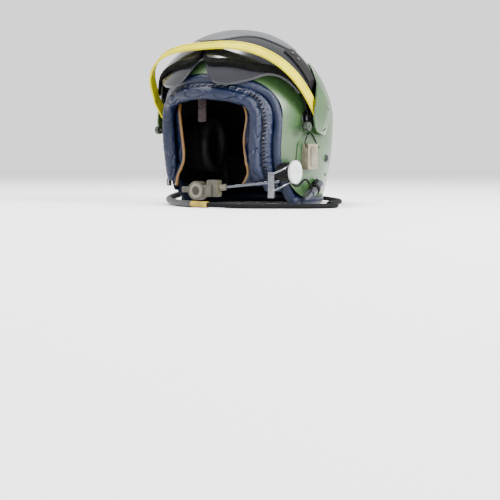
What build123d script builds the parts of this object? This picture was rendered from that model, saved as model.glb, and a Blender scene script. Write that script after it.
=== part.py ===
from build123d import *
import math
import os

# Pilot's flight helmet with two raised visors, a yellow visor guard hoop, a boom microphone and
# a short communication lead. Millimetres. +Z is up, the wearer looks along -Y and the wearer's
# left is +X. The origin is on the table under the middle of the shell's widest section.

# Shell
SHELL_HALF_WIDTH = 122.0
SHELL_HALF_LENGTH = 148.0
SHELL_WIDEST_Z = 127.0
SHELL_CROWN = 120.0
SHELL_RIM_Z = 13.0
SHELL_RIM_HALF_WIDTH = 108.0
SHELL_WALL = 3.2
OVERRUN = 30.0
SEAT = 0.3

# Face window, seen from the front
WINDOW_HALF_WIDTH = 105.0
WINDOW_WAIST_HALF_WIDTH = 102.0
WINDOW_FOOT_HALF_WIDTH = 107.0
WINDOW_SHOULDER_Z = 124.0
WINDOW_WAIST_Z = 62.0
WINDOW_CORNER_X = 64.0
WINDOW_CORNER_Z = 181.0
WINDOW_TOP_Z = 189.0
WINDOW_CORNER_BULGE_X = 94.0
WINDOW_CORNER_BULGE_Z = 162.0
WINDOW_BULGE_IN_SHARES = (0.8, 0.6)
WINDOW_CORNER_IN_SHARES = (0.35, 0.95)
PATH_ARC_SHARE = 0.45

# Energy liner and the pads inside it
LINER_THICK = 12.0
LINER_WINDOW_MARGIN = 4.0
PAD_GAP = 0.3
CROWN_PAD_THICK = 11.0
CROWN_PAD_RADIUS = 66.0
CROWN_PAD_CHANNEL = 5.0
NAPE_PAD_THICK = 12.0
NAPE_PAD_BOTTOM_Z = 24.0
NAPE_PAD_TOP_Z = 78.0
NAPE_PAD_FRONT_Y = 52.0
NAPE_PAD_CHANNEL = 4.0
NAPE_PAD_CHANNEL_PITCH = 34.0
NAPE_PAD_CHANNEL_SHARES = (-1.5, -0.5, 0.5, 1.5)
TAB_WIDTH = 15.0
TAB_THICK = 3.0
TAB_X = -13.0
TAB_Y = -104.0
TAB_BOTTOM_Z = 122.0

# Leather face rolls and the roll under the rim
OUTER_ROLL_RADIUS = 7.5
OUTER_ROLL_INSET = 8.0
OUTER_ROLL_EDGE = 8.0
INNER_ROLL_RADIUS = 8.5
INNER_ROLL_INSET = 9.0
INNER_ROLL_EDGE = 28.0
INNER_ROLL_FOOT_Z = 22.0
NAPE_ROLL_RADIUS = 8.5
NAPE_ROLL_SINK = 0.5
NAPE_ROLL_FRONT_Y = -20.0
NAPE_ROLL_INSET = 9.0
ROLL_FOOT_IN_SHARES = (0.995, 0.96)
ROLL_FOOT_FORWARD_SHARE = 1.6
ROLL_FOOT_RISE_SHARE = 1.35
SEAM_BAND_OUTER_EDGE = 12.0
SEAM_BAND_INNER_EDGE = 25.0
SEAM_BAND_INSET = 5.5
SEAM_BAND_THICK = 4.0
ROLL_STEPS = 11
NAPE_STEPS = 16

# Ear flaps with their light bindings
FLAP_THICK = 5.0
FLAP_TOP_Z = 150.0
FLAP_FOOT_Z = 24.0
FLAP_ROOT_X = 80.0
FLAP_ROOT_Y = -82.0
FLAP_BEND_X = 69.0
FLAP_BEND_Y = -94.0
FLAP_EDGE_X = 60.0
FLAP_EDGE_Y = -103.0
FLAP_WAVE = 5.0
FLAP_OUT_SHARES = (-1.0, 1.0, -0.4, 0.4, -1.0)
FLAP_BACK_SHARES = (2.0, 0.6, 0.0, 0.4, 2.4)
BINDING_RADIUS = 2.0

# Ear cups, their cushions and the earphones
EAR_Y = -6.0
EAR_Z = 92.0
EAR_CUP_HALF_LENGTH = 32.0
EAR_CUP_HALF_HEIGHT = 43.0
EAR_CUP_DEPTH = 43.0
EAR_CUP_WALL = 3.0
EAR_CUP_OUTER_X = 112.0
EAR_CUSHION_THICK = 14.0
EAR_CUSHION_RIM = 15.0
EAR_CUSHION_ROUND_SHARE = 0.45
EARPHONE_RADIUS = 19.0
EARPHONE_THICK = 13.0

# Visor pivots. Angles about the pivot start at straight ahead and rise to the crown.
PIVOT_Y = -25.0
PIVOT_Z = 127.0
PIN_RADIUS = 4.0
PIN_HEAD_RADIUS = 7.0
PIN_HEAD_THICK = 1.3
FIT = 0.05
HUB_RADIUS = 12.0
STACK_GAP = 0.3
BOSS_RADIUS = 10.0
BOSS_OUTER_X = 123.1
MOUNT_OVAL_SHARES = (1.7, 1.2)
PIN_INNER_X = 118.0
WASHER_INNER = 1.4

# Visors: each lens is a layer of an ellipsoid about the pivot axis
VISOR_FACING = 62.0
OUTER_LENS_HALF_WIDTH = 140.0
OUTER_LENS_RADIUS = 132.5
INNER_LENS_HALF_WIDTH = 134.5
INNER_LENS_RADIUS = 127.0
LENS_THICK = 2.5
OUTER_LOW_SHARES = (
    (0.0, -0.230), (0.030, -0.330), (0.085, -0.415), (0.19, -0.430), (0.32, -0.402), (0.46, -0.370),
    (0.61, -0.315), (0.76, -0.200), (0.88, -0.125), (1.02, -0.040),
)
FRAME_LINE_SHARES = (
    (0.0, -0.090), (0.15, -0.060), (0.30, 0.070), (0.42, 0.155), (0.58, 0.200), (0.74, 0.290),
)
CREST_SHARES = ((0.0, 0.295), (0.17, 0.315), (0.35, 0.400), (0.58, 0.405), (0.80, 0.345), (1.02, 0.150))
INNER_LOW_SHARES = (
    (0.0, -0.350), (0.045, -0.385), (0.11, -0.490), (0.205, -0.590), (0.33, -0.598), (0.52, -0.505),
    (0.64, -0.386), (0.72, -0.270), (0.80, -0.190), (1.04, -0.120),
)
INNER_HIGH_SHARES = ((0.0, 0.270), (0.50, 0.275), (0.80, 0.200), (1.04, 0.100))
LENS_ROOT_REACH = 51.0
TRIM_ROOT_REACH = 56.0
TRIM_HEIGHT = 6.0
TRIM_LIP = 0.7
FRAME_THICK = 1.6
ARM_THICK = 2.2
INNER_ARM_THICK = 1.6
ARM_ROOT_REACH = 53.0
ARM_LAYER_START = 46.0
OUTER_ARM_ANGLE = 79.0
OUTER_ARM_REACH = 105.0
OUTER_ARM_HALF_WIDTH = 8.0
OUTER_ARM_TIP_HALF_WIDTH = 11.0
OUTER_ARM_TOP_X = 129.9
INNER_ARM_TOP_X = 125.6
BRACKET_INNER_X = 95.0
INNER_ARM_ANGLE = 60.0
INNER_ARM_REACH = 80.0
INNER_ARM_HALF_WIDTH = 8.0
INNER_ARM_INNER_X = 100.0
BRACKET_SCREW_RADIUS = 2.6
BRACKET_SCREW_HEIGHT = 1.2
BRACKET_SCREW_REACHES = (85.0, 94.0)
BRACKET_SCREW_PROUD_SHARE = 1.5

# Lever and lock knob of each visor
LEVER_ANGLE = -24.0
LEVER_REACH = 31.0
LEVER_HALF_WIDTH = 4.5
KNOB_RADIUS = 6.5
KNOB_HEIGHT = 6.5
KNOB_STEM_RADIUS = 2.2
KNOB_CAP_RADIUS = 2.6
KNOB_CAP_HEIGHT = 0.8
KNOB_TOP_X = 137.0
KNOB_RIBS = 10
KNOB_RIB_RADIUS = 0.8
SCREW_SLOT = 0.8
SCREW_SLOT_REACH_SHARE = 2.2

# Guard hoop
HOOP_ANGLE = 47.5
HOOP_HALF_WIDTH = 135.5
HOOP_RADIUS = 138.0
HOOP_POWER = 2.8
HOOP_THICK = 2.8
HOOP_BAND = 15.0
HOOP_GROOVE = 0.8
HOOP_LIP = 2.0
HOOP_STEPS = 12

# Side pods that cover the pivots
POD_HALF_WIDTH = 142.5
POD_LENGTH_RADIUS = 230.0
POD_HEIGHT_RADIUS = 150.0
POD_CENTRE_Z = 138.0
POD_REAR_HALF_WIDTH = 147.0
POD_REAR_CENTRE_Y = -50.0
POD_REAR_HEIGHT_RADIUS = 117.0
POD_WALL = 2.2
POD_NOSE_RADIUS = 22.0
POD_MOUTH_Y = -10.0
POD_FIN_Y = -6.0
POD_FIN_Z = 208.0
POD_REAR_Y = 38.0
POD_REAR_Z = 152.0
POD_FOOT_Y = 8.0
POD_FIN_SHARES = ((-0.28, 0.30), (-0.16, 0.54), (0.02, 0.77))
POD_REAR_SHARES = ((0.72, 0.72), (0.98, 0.40), (0.98, 0.10), (0.78, -0.16))
POD_RING_Y = -3.0
POD_RING_Z = 147.0
POD_RING_RADIUS = 8.5
POD_RING_SLOT = 1.8
POD_RING_OPEN_ANGLE = 80.0
POD_SLOT_Y = -12.0
POD_SLOT_Z = 111.0
POD_SLOT_LENGTH = 15.0
POD_SLOT_HEIGHT = 3.2
POD_SLOT_TILT = 20.0

# Mask receivers, one at each side
PLATE_THICK = 1.4
PLATE_FRONT_Y = -49.0
PLATE_REAR_Y = -11.0
PLATE_BOTTOM_Z = 54.0
PLATE_TOP_Z = 93.0
PLATE_CORNER = 4.0
RECEIVER_Y = -25.0
RECEIVER_Z = 72.0
RECEIVER_LENGTH = 29.0
RECEIVER_HEIGHT = 37.0
RECEIVER_OUTER_X = 126.6
RECEIVER_CORNER = 2.5
BUTTON_LENGTH = 13.0
BUTTON_HEIGHT = 26.0
BUTTON_CLEAR = 0.4
BUTTON_PROUD = 0.8
BUTTON_TRAVEL = 1.5
BUTTON_SEAT_DEPTH = 5.0
BAIL_WIRE_RADIUS = 0.9
BAIL_RISE = 15.0
BAIL_SPAN = 17.0
BAIL_TOP_SPAN = 6.0
BAIL_LUG_RADIUS = 1.8
BAIL_SINK = 5.0
BAIL_LEAN = -3.9
BAIL_SHOULDER_SHARE = 0.8
BAIL_BORE_SHARE = 1.2

# Studs and rivets on the shell
STUD_Y = 36.0
STUD_Z = 70.0
STUD_RADIUS = 4.0
STUD_HEIGHT = 4.0
STUD_SKIRT_SHARE = 1.5
RIVET_RADIUS = 2.4
RIVET_HEIGHT = 1.0
RIVET_PLACE_SHARES = ((-0.38, 1.16), (-0.24, 0.86), (0.62, 1.10), (0.30, 0.36))

# Boom microphone on the wearer's left
BOOM_Y = -66.0
BOOM_Z = 50.0
BOOM_BASE_RADIUS = 14.0
BOOM_BASE_OUTER_X = 114.6
BOOM_HUB_THICK = 3.6
BOOM_HUB_RADIUS = 14.0
BOOM_KNOB_RADIUS = 16.5
BOOM_KNOB_THICK = 4.5
BOOM_KNOB_DOME = 1.2
BOOM_STUD_RADIUS = 3.0
FORK_WIRE_RADIUS = 1.6
FORK_HALF_SPREAD = 11.8
CLAMP_X = 103.0
CLAMP_Y = -101.0
CLAMP_Z = 36.0
CLAMP_WIDTH = 9.0
CLAMP_DEPTH = 8.0
CLAMP_TOP = 14.0
CLAMP_BOTTOM = 17.0
CLAMP_JAW_GAP = 1.2
CLAMP_FOOT_HEIGHT = 5.0
CLAMP_SCREW_SHARE = 0.9
SCREW_RADIUS = 3.6
SCREW_HEAD = 3.0
ROD_RADIUS = 2.0
ROD_TAIL = 11.0
COLLAR_AT = (41.0, -122.0, 29.0)
MIC_X = -2.0
MIC_Y = -129.5
MIC_Z = 23.5
MIC_RADIUS = 13.5
MIC_THICK = 14.0
MIC_RIM = 3.0
MIC_RIM_PROUD = 1.2
MIC_MESH_RADIUS = 6.5
MIC_MESH_SINK = 0.6
MIC_BLOCK_LENGTH = 18.0
MIC_BLOCK_HEIGHT = 24.0
MIC_BLOCK_THICK = 12.0
MIC_BRIDGE_SHARE = 0.7
COLLAR_RADIUS = 4.6
COLLAR_LENGTH = 9.0
COLLAR_BORE_DEPTH = 13.0
MIC_TAB_LENGTH = 18.0
MIC_TAB_HEIGHT = 8.5
MIC_TAB_THICK = 4.0

# Microphone lead, from the boom base to its connector on the rim
LEAD_RADIUS = 1.4
LEAD_POINTS = (
    (107.0, -56.0, 39.0), (109.5, -53.0, 31.0), (114.0, -45.0, 29.0), (117.0, -38.0, 37.0),
    (118.5, -31.0, 40.0), (121.0, -24.0, 33.0), (122.0, -19.0, 22.0),
)
CONNECTOR_REAR = (119.0, 10.0, 33.0)
CONNECTOR_FRONT = (120.5, -21.0, 17.5)
CONNECTOR_RADIUS = 6.5
CONNECTOR_SLEEVE_SHARE = 0.45
CONNECTOR_RING_RADIUS = 8.0
CONNECTOR_RING_LENGTH = 5.0
CONNECTOR_BOOT_LENGTH = 13.0
CONNECTOR_BOOT_RADIUS = 4.8
CONNECTOR_BOOT_TIP_RADIUS = 2.6
SADDLE_THICK = 3.0

# Tab with two snap studs, given for the left front corner and mirrored to the right one
CORNER_TAB_X = 96.0
CORNER_TAB_Y = -76.0
CORNER_TAB_Z = 34.0
CORNER_TAB_LENGTH = 22.0
CORNER_TAB_HEIGHT = 11.0
CORNER_TAB_THICK = 2.0
CORNER_TAB_TURN = 38.0
SNAP_RADIUS = 3.6
SNAP_HEIGHT = 1.8
SNAP_PITCH = 10.0

# Communication lead: 7 mm cord, from its gland on the right of the shell round the front
CORD_RADIUS = 3.5
CORD_LIE = 0.1
GLAND_START = (-111.5, 40.0, 27.0)
GLAND_END = (-115.5, 20.0, 20.0)
GLAND_RADIUS = 6.2
GLAND_TIP_RADIUS = 4.6
GLAND_FOOT_RADIUS = 7.6
GLAND_FOOT_HALF_LENGTH = 4.0
SLEEVE_WALL = 1.2
SLEEVE_CLEAR = 0.1
YELLOW_WALL = 0.9
CORD_POINTS = (
    (-116.0, -8.0, 16.0), (-112.0, -42.0, 12.0), (-102.0, -69.0, 9.0), (-82.0, -95.0, 7.5),
    (-54.0, -119.0, 5.6), (-24.0, -139.0, 5.0), (10.0, -151.5, 4.9), (46.0, -154.5, 4.7),
    (74.0, -148.0, 0), (102.0, -134.5, 0), (134.0, -115.0, 0), (166.0, -94.0, 0),
    (186.0, -58.0, 0), (160.0, -26.0, 0), (131.0, 10.0, 0), (124.0, 60.0, 0), (104.0, 106.0, 0),
    (70.0, 141.0, 4.6), (34.0, 162.0, 6.2), (8.0, 171.0, 6.2),
)
GREY_START = 50.0
GREY_END = 228.0
YELLOW_END = 260.0
PLUG_RADIUS = 6.0
PLUG_LENGTH = 32.0
PLUG_BOOT_LENGTH = 14.0
PLUG_BOOT_RADIUS = 4.8
PLUG_PIN_RADIUS = 2.6
PLUG_PIN_LENGTH = 26.0

os.makedirs("parts", exist_ok=True)
made = {}


def keep(name, shape):
    """Remember a finished piece under its node's name."""
    made[name] = shape
    return shape


def both_sides(name, left):
    """Keep a left piece and its mirror image as two nodes."""
    keep(name + "_left", left)
    keep(name + "_right", mirror(left, about=Plane.YZ))


def pair(name, left):
    """Keep a piece, or group, and its mirror image in one node."""
    solids = list(left.solids()) + list(mirror(left, about=Plane.YZ).solids())
    keep(name, Compound(children=solids))


def disc_x(radius, x0, x1, y, z):
    """A cylinder along X from x0 to x1."""
    return Pos((x0 + x1) / 2, y, z) * Rot(0, 90, 0) * Cylinder(radius, x1 - x0)


def rod_between(a, b, radius, tip_radius=None):
    """A round bar, or a cone, from point a to point b."""
    a, b = Vector(*a), Vector(*b)
    plane = Plane(origin=a, z_dir=(b - a).normalized())
    if tip_radius is None:
        return extrude(plane * Circle(radius), (b - a).length)
    sections = [plane * Circle(radius), plane.offset((b - a).length) * Circle(tip_radius)]
    return loft(sections)


def side_prism(outline, x0, x1):
    """A (y, z) face swept along X from x0 to x1."""
    return extrude(Plane.YZ.offset(x0) * outline, x1 - x0)


# The shell's form. Below its widest level the wall is a taller ellipse that draws in to the rim.
LOWER_RADIUS = (SHELL_WIDEST_Z - SHELL_RIM_Z) / math.sqrt(
    1 - (SHELL_RIM_HALF_WIDTH / SHELL_HALF_WIDTH) ** 2
)


def form_half_width(z, inset):
    """Half the form's width at a height, for a surface set inward by inset."""
    rise = SHELL_CROWN - inset if z > SHELL_WIDEST_Z else LOWER_RADIUS
    share = 1 - ((z - SHELL_WIDEST_Z) / rise) ** 2
    return (SHELL_HALF_WIDTH - inset) * math.sqrt(max(share, 0))


def form_length_ratio(inset):
    return (SHELL_HALF_LENGTH - inset) / (SHELL_HALF_WIDTH - inset)


def form_front_y(x, z, inset):
    """Where the form's front surface is, at x and z."""
    half = form_half_width(z, inset)
    return -half * form_length_ratio(inset) * math.sqrt(max(1 - (x / half) ** 2, 0))


def form_side_x(y, z, inset):
    """Where the form's left surface is, at y and z."""
    half = form_half_width(z, inset)
    return half * math.sqrt(max(1 - (y / (half * form_length_ratio(inset))) ** 2, 0))


def helmet_form(inset, bottom_z):
    """The solid inside the shell's form, set inward by inset and open to bottom_z."""
    half = SHELL_HALF_WIDTH - inset
    low = form_half_width(bottom_z, inset)
    centre = (0, SHELL_WIDEST_Z)
    sink = math.degrees(math.asin((SHELL_WIDEST_Z - bottom_z) / LOWER_RADIUS))
    lower = EllipticalCenterArc(centre, half, LOWER_RADIUS, -sink, arc_size=sink)
    upper = EllipticalCenterArc(centre, half, SHELL_CROWN - inset, 0, arc_size=90)
    closing = Polyline(upper @ 1, (0, bottom_z), (low, bottom_z))
    face = make_face(Plane.XZ * (lower + upper + closing))
    return scale(revolve(face, Axis.Z), by=(1, form_length_ratio(inset), 1))


def window_half(edge):
    """The left half of the face window's outline, moved inward by edge, from the foot up."""
    foot = (WINDOW_FOOT_HALF_WIDTH - edge, SHELL_RIM_Z)
    waist = (WINDOW_WAIST_HALF_WIDTH - edge, WINDOW_WAIST_Z)
    shoulder = (WINDOW_HALF_WIDTH - edge, WINDOW_SHOULDER_Z)
    bulge_in, corner_in = WINDOW_BULGE_IN_SHARES, WINDOW_CORNER_IN_SHARES
    bulge = (WINDOW_CORNER_BULGE_X - edge * bulge_in[0], WINDOW_CORNER_BULGE_Z - edge * bulge_in[1])
    corner = (WINDOW_CORNER_X - edge * corner_in[0], WINDOW_CORNER_Z - edge * corner_in[1])
    top = (0, WINDOW_TOP_Z - edge)
    side = Spline(foot, waist, shoulder, tangents=[(-1, 6), (0, 1)])
    crook = ThreePointArc(shoulder, bulge, corner)
    brow = ThreePointArc(corner, (corner[0] / 2, (corner[1] + 3 * top[1]) / 4), top)
    return side, crook, brow


def window_prism(edge):
    """The face window as a solid that opens the front half of the form."""
    side, crook, brow = window_half(edge)
    foot = side @ 0
    down = Polyline(brow @ 1, (0, -OVERRUN), (foot.X, -OVERRUN), foot)
    half = make_face(Curve() + [side, crook, brow, down])
    outline = half + mirror(half, about=Plane.YZ)
    return extrude(Plane.XZ * outline, SHELL_HALF_LENGTH + OVERRUN)


def lifted(points, inset):
    """Front-view points laid on the form's front surface."""
    return [Vector(x, form_front_y(x, z, inset), z) for x, z in points]


def smooth_path(points):
    """Straight runs joined by tangent arcs as large as their runs allow."""
    radii = []
    for a, b, c in zip(points, points[1:], points[2:]):
        turn = math.radians((b - a).get_angle(c - b))
        radii.append(PATH_ARC_SHARE * min((b - a).length, (c - b).length) / math.tan(turn / 2))
    return FilletPolyline(*points, radius=radii)


def tube(points, radius):
    """A round bar along a smooth path."""
    path = smooth_path(points)
    start = Plane(origin=path @ 0, z_dir=path % 0)
    return sweep(start * Circle(radius), path=path)


# Shell and liner
below_rim = SHELL_RIM_Z - OVERRUN / 3
clear_form = helmet_form(-SEAT, below_rim)
outer_shell = helmet_form(0, SHELL_RIM_Z) - helmet_form(SHELL_WALL, below_rim)
outer_shell -= window_prism(0)

roll_z = NAPE_ROLL_RADIUS - NAPE_ROLL_SINK
liner_outer = helmet_form(SHELL_WALL + SEAT, roll_z + NAPE_ROLL_RADIUS + SEAT)
liner_inset = SHELL_WALL + SEAT + LINER_THICK
liner = liner_outer - helmet_form(liner_inset, below_rim)
liner -= window_prism(0) + window_prism(-LINER_WINDOW_MARGIN)


def ear_oval(grow):
    return Ellipse(EAR_CUP_HALF_LENGTH + grow, EAR_CUP_HALF_HEIGHT + grow)


ear_place = Pos(EAR_Y, EAR_Z) * ear_oval(PAD_GAP)
ear_hole = side_prism(ear_place, EAR_CUP_OUTER_X - EAR_CUP_DEPTH - OVERRUN, SHELL_HALF_WIDTH)
for side in (1, -1):
    hole = ear_hole if side > 0 else mirror(ear_hole, about=Plane.YZ)
    liner -= hole & helmet_form(SHELL_WALL + SEAT + PAD_GAP, SHELL_RIM_Z)
keep("energy_liner", liner)

# Crown pads: four quarters of a cap with open channels between them
pad_inset = liner_inset + PAD_GAP
pad_base_z = SHELL_WIDEST_Z - OVERRUN
pad_layer = helmet_form(pad_inset, pad_base_z) - helmet_form(pad_inset + CROWN_PAD_THICK, pad_base_z)
pad_near = CROWN_PAD_CHANNEL / 2
pad_far = math.sqrt(CROWN_PAD_RADIUS**2 - pad_near**2)
pad_mid = CROWN_PAD_RADIUS * math.sqrt(0.5)
quarter_arc = ThreePointArc((pad_far, pad_near), (pad_mid, pad_mid), (pad_near, pad_far))
quarter_sides = Polyline((pad_near, pad_far), (pad_near, pad_near), (pad_far, pad_near))
quarter_face = make_face(Curve() + [quarter_arc, quarter_sides])
quarter = extrude(Pos(0, 0, SHELL_WIDEST_Z) * quarter_face, SHELL_CROWN) & pad_layer
quarter_half = [quarter, mirror(quarter, about=Plane.YZ)]
quarters = quarter_half + [mirror(q, about=Plane.XZ) for q in quarter_half]
keep("crown_pad", Compound(children=[s for q in quarters for s in q.solids()]))

# Nape pad with its upright channels
nape_band = helmet_form(pad_inset, NAPE_PAD_BOTTOM_Z) - helmet_form(
    pad_inset + NAPE_PAD_THICK, NAPE_PAD_BOTTOM_Z - OVERRUN
)
nape_height = NAPE_PAD_TOP_Z - NAPE_PAD_BOTTOM_Z
nape_box = Box(
    2 * SHELL_HALF_WIDTH,
    SHELL_HALF_LENGTH,
    nape_height,
    align=(Align.CENTER, Align.MIN, Align.MIN),
)
nape_pad = nape_band & (Pos(0, NAPE_PAD_FRONT_Y, NAPE_PAD_BOTTOM_Z) * nape_box)
nape_inner = helmet_form(pad_inset + NAPE_PAD_THICK * 2 / 3, NAPE_PAD_BOTTOM_Z - OVERRUN)
for share in NAPE_PAD_CHANNEL_SHARES:
    groove = Box(NAPE_PAD_CHANNEL, SHELL_HALF_LENGTH, nape_height + OVERRUN)
    place = Pos(share * NAPE_PAD_CHANNEL_PITCH, SHELL_HALF_LENGTH / 2 + NAPE_PAD_FRONT_Y, 0)
    centre_z = Pos(0, 0, (NAPE_PAD_BOTTOM_Z + NAPE_PAD_TOP_Z) / 2)
    nape_pad -= (place * centre_z * groove) & nape_inner
keep("nape_pad", nape_pad)

# Leather tab that hangs inside the brow
tab_y_share = TAB_Y / (SHELL_HALF_LENGTH - liner_inset)
tab_x_share = TAB_X / (SHELL_HALF_WIDTH - liner_inset)
tab_rise = (SHELL_CROWN - liner_inset) * math.sqrt(1 - tab_y_share**2 - tab_x_share**2)
tab_length = SHELL_WIDEST_Z + tab_rise + TAB_THICK - TAB_BOTTOM_Z
tab_box = Box(TAB_WIDTH, TAB_THICK, tab_length, align=(Align.CENTER, Align.CENTER, Align.MIN))
crown_tab = (Pos(TAB_X, TAB_Y, TAB_BOTTOM_Z) * tab_box) & helmet_form(pad_inset, SHELL_RIM_Z)
crown_tab = fillet(crown_tab.faces().sort_by(Axis.Z)[0].edges().filter_by(Axis.Y), TAB_THICK)
keep("crown_tab", crown_tab)

# Face rolls: round padded tubes along the window, just inside the form's surface


def roll_points(edge, foot_z):
    """Points of one face roll, from the left foot over the brow to the right foot."""
    side, crook, brow = window_half(edge)
    wire = Wire([side, crook, brow])
    half = []
    for i in range(ROLL_STEPS + 1):
        p = wire @ (i / ROLL_STEPS)
        if p.Y >= foot_z:
            half.append((p.X, p.Y))
    return half + [(-x, z) for x, z in reversed(half[:-1])]


outer_points = roll_points(OUTER_ROLL_EDGE, WINDOW_WAIST_Z / 2)
outer_lifted = lifted(outer_points, OUTER_ROLL_INSET)
join_x = form_side_x(NAPE_ROLL_FRONT_Y, SHELL_RIM_Z, NAPE_ROLL_INSET)
first = outer_lifted[0]
foot_run = [
    Vector(join_x, NAPE_ROLL_FRONT_Y, roll_z),
    Vector(join_x * ROLL_FOOT_IN_SHARES[0], NAPE_ROLL_FRONT_Y * ROLL_FOOT_FORWARD_SHARE, roll_z),
    Vector(
        join_x * ROLL_FOOT_IN_SHARES[1],
        (NAPE_ROLL_FRONT_Y * 2 + first.Y) / 3,
        roll_z * ROLL_FOOT_RISE_SHARE,
    ),
]
foot_back = [Vector(-p.X, p.Y, p.Z) for p in reversed(foot_run)]
face_roll_outer = tube(foot_run + outer_lifted + foot_back, OUTER_ROLL_RADIUS)

inner_points = roll_points(INNER_ROLL_EDGE, INNER_ROLL_FOOT_Z)
face_roll_inner = tube(lifted(inner_points, INNER_ROLL_INSET), INNER_ROLL_RADIUS)

nape_points = []
for i in range(NAPE_STEPS + 1):
    half = form_half_width(SHELL_RIM_Z, NAPE_ROLL_INSET)
    ratio = form_length_ratio(NAPE_ROLL_INSET)
    start = math.asin(NAPE_ROLL_FRONT_Y / (half * ratio))
    angle = start + (math.pi - 2 * start) * i / NAPE_STEPS
    nape_points.append(Vector(half * math.cos(angle), half * ratio * math.sin(angle), roll_z))
nape_roll = tube(nape_points, NAPE_ROLL_RADIUS)
table = Pos(0, 0, -OVERRUN / 2) * Box(4 * SHELL_HALF_LENGTH, 4 * SHELL_HALF_LENGTH, OVERRUN)
rim_clear = helmet_form(-SEAT, SHELL_RIM_Z - SEAT) - helmet_form(SHELL_WALL + SEAT, below_rim)
nape_roll = nape_roll - table - (rim_clear - window_prism(0))
keep("nape_roll", nape_roll)
face_roll_outer = face_roll_outer - nape_roll - (rim_clear - window_prism(SEAT)) - table
keep("face_roll_outer", face_roll_outer.solids().sort_by(SortBy.VOLUME)[-1])
face_roll_inner = face_roll_inner - made["face_roll_outer"]
keep("face_roll_inner", face_roll_inner)

# Stitched leather band that closes the groove between the two face rolls
seam_band = helmet_form(SEAM_BAND_INSET, INNER_ROLL_FOOT_Z) - helmet_form(
    SEAM_BAND_INSET + SEAM_BAND_THICK, INNER_ROLL_FOOT_Z - OVERRUN / 3
)
seam_band &= window_prism(SEAM_BAND_OUTER_EDGE) - window_prism(SEAM_BAND_INNER_EDGE)
seam_band = seam_band - made["face_roll_outer"] - made["face_roll_inner"] - outer_shell
keep("face_roll_seam_band", seam_band.solids().sort_by(SortBy.VOLUME)[-1])
keep("outer_shell", outer_shell)

# Ear flaps: waved leather panels that run from the inner roll to the face opening


def flap_section(z, out, back):
    """One level of the left ear flap: a bent strip seen from above."""
    root = Vector(FLAP_ROOT_X, FLAP_ROOT_Y + back)
    bend = Vector(FLAP_BEND_X + out / 2, FLAP_BEND_Y + back)
    edge = Vector(FLAP_EDGE_X + out, FLAP_EDGE_Y + back)
    side = (edge - root).normalized().rotate(Axis.Z, 90) * (FLAP_THICK / 2)
    near = Spline(root + side, bend + side, edge + side)
    far = Spline(edge - side, bend - side, root - side)
    closing = [Line(near @ 1, far @ 0), Line(far @ 1, near @ 0)]
    return Pos(0, 0, z) * make_face(Curve() + [near, far] + closing), edge


flap_sections = []
flap_edges = []
flap_rise = (FLAP_TOP_Z - FLAP_FOOT_Z) / (len(FLAP_OUT_SHARES) - 1)
for i, share in enumerate(FLAP_OUT_SHARES):
    level = FLAP_FOOT_Z + i * flap_rise
    section, edge = flap_section(level, share * FLAP_WAVE, FLAP_BACK_SHARES[i] * FLAP_WAVE)
    flap_sections.append(section)
    flap_edges.append(Vector(edge.X, edge.Y, level))
ear_flap = loft(flap_sections)
ear_flap -= made["face_roll_inner"]
ear_flap = ear_flap.solids().sort_by(SortBy.VOLUME)[-1]
pair("ear_flaps", ear_flap)
binding = tube(flap_edges, BINDING_RADIUS)
binding = binding - ear_flap - made["face_roll_inner"]
pair("ear_flap_bindings", binding.solids().sort_by(SortBy.VOLUME)[-1])

# Ear cups: a hard bowl, a ring cushion on its inner side and the earphone inside
cup_face = Pos(EAR_Y, EAR_Z) * ear_oval(0)
cup_inner_x = EAR_CUP_OUTER_X - EAR_CUP_DEPTH
ear_cup = side_prism(cup_face, cup_inner_x, EAR_CUP_OUTER_X + OVERRUN)
ear_cup &= helmet_form(SHELL_WALL + 2 * SEAT, SHELL_RIM_Z)
hollow_face = Pos(EAR_Y, EAR_Z) * ear_oval(-EAR_CUP_WALL)
ear_cup -= side_prism(hollow_face, cup_inner_x - OVERRUN, EAR_CUP_OUTER_X - EAR_CUP_WALL)
pair("ear_cups", ear_cup)
cushion_hole = Pos(EAR_Y, EAR_Z) * ear_oval(-EAR_CUSHION_RIM)
cushion = side_prism(cup_face, cup_inner_x - EAR_CUSHION_THICK, cup_inner_x)
cushion -= side_prism(cushion_hole, cup_inner_x - OVERRUN, cup_inner_x + OVERRUN)
soft_edges = cushion.faces().sort_by(Axis.X)[0].edges()
cushion = fillet(soft_edges, EAR_CUSHION_RIM * EAR_CUSHION_ROUND_SHARE)
pair("ear_cushions", cushion)
earphone_x = EAR_CUP_OUTER_X - EAR_CUP_WALL
earphone = disc_x(EARPHONE_RADIUS, earphone_x - EARPHONE_THICK, earphone_x, EAR_Y, EAR_Z)
pair("earphones", earphone)


# Visors


def about_pivot(angle, reach):
    """A (y, z) point at an angle and a reach from the pivot."""
    turn = math.radians(angle)
    return PIVOT_Y - reach * math.cos(turn), PIVOT_Z + reach * math.sin(turn)


def pivot_form(half_width, radius):
    """An ellipsoid of revolution about the pivot axis."""
    arc = EllipticalCenterArc((0, 0), half_width, radius, 0, arc_size=180)
    face = make_face(arc + Line(arc @ 1, arc @ 0))
    return Pos(0, PIVOT_Y, PIVOT_Z) * revolve(face, Axis.X)


facing = Vector(0, -math.cos(math.radians(VISOR_FACING)), math.sin(math.radians(VISOR_FACING)))
visor_plane = Plane(origin=(0, PIVOT_Y, PIVOT_Z), x_dir=(1, 0, 0), z_dir=facing)


def scaled(shares, size):
    return [(x * size, t * size) for x, t in shares]


def visor_prism(lower, upper):
    """The region between two half curves, on both sides, pushed out from the pivot."""
    low = Spline(*lower)
    high = Spline(*upper)
    ends = [Line(low @ 1, high @ 1), Line(high @ 0, low @ 0)]
    half = make_face(Curve() + [low, high] + ends)
    outline = half + mirror(half, about=Plane.YZ)
    return extrude(visor_plane * outline, OUTER_LENS_RADIUS + OVERRUN)


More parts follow.
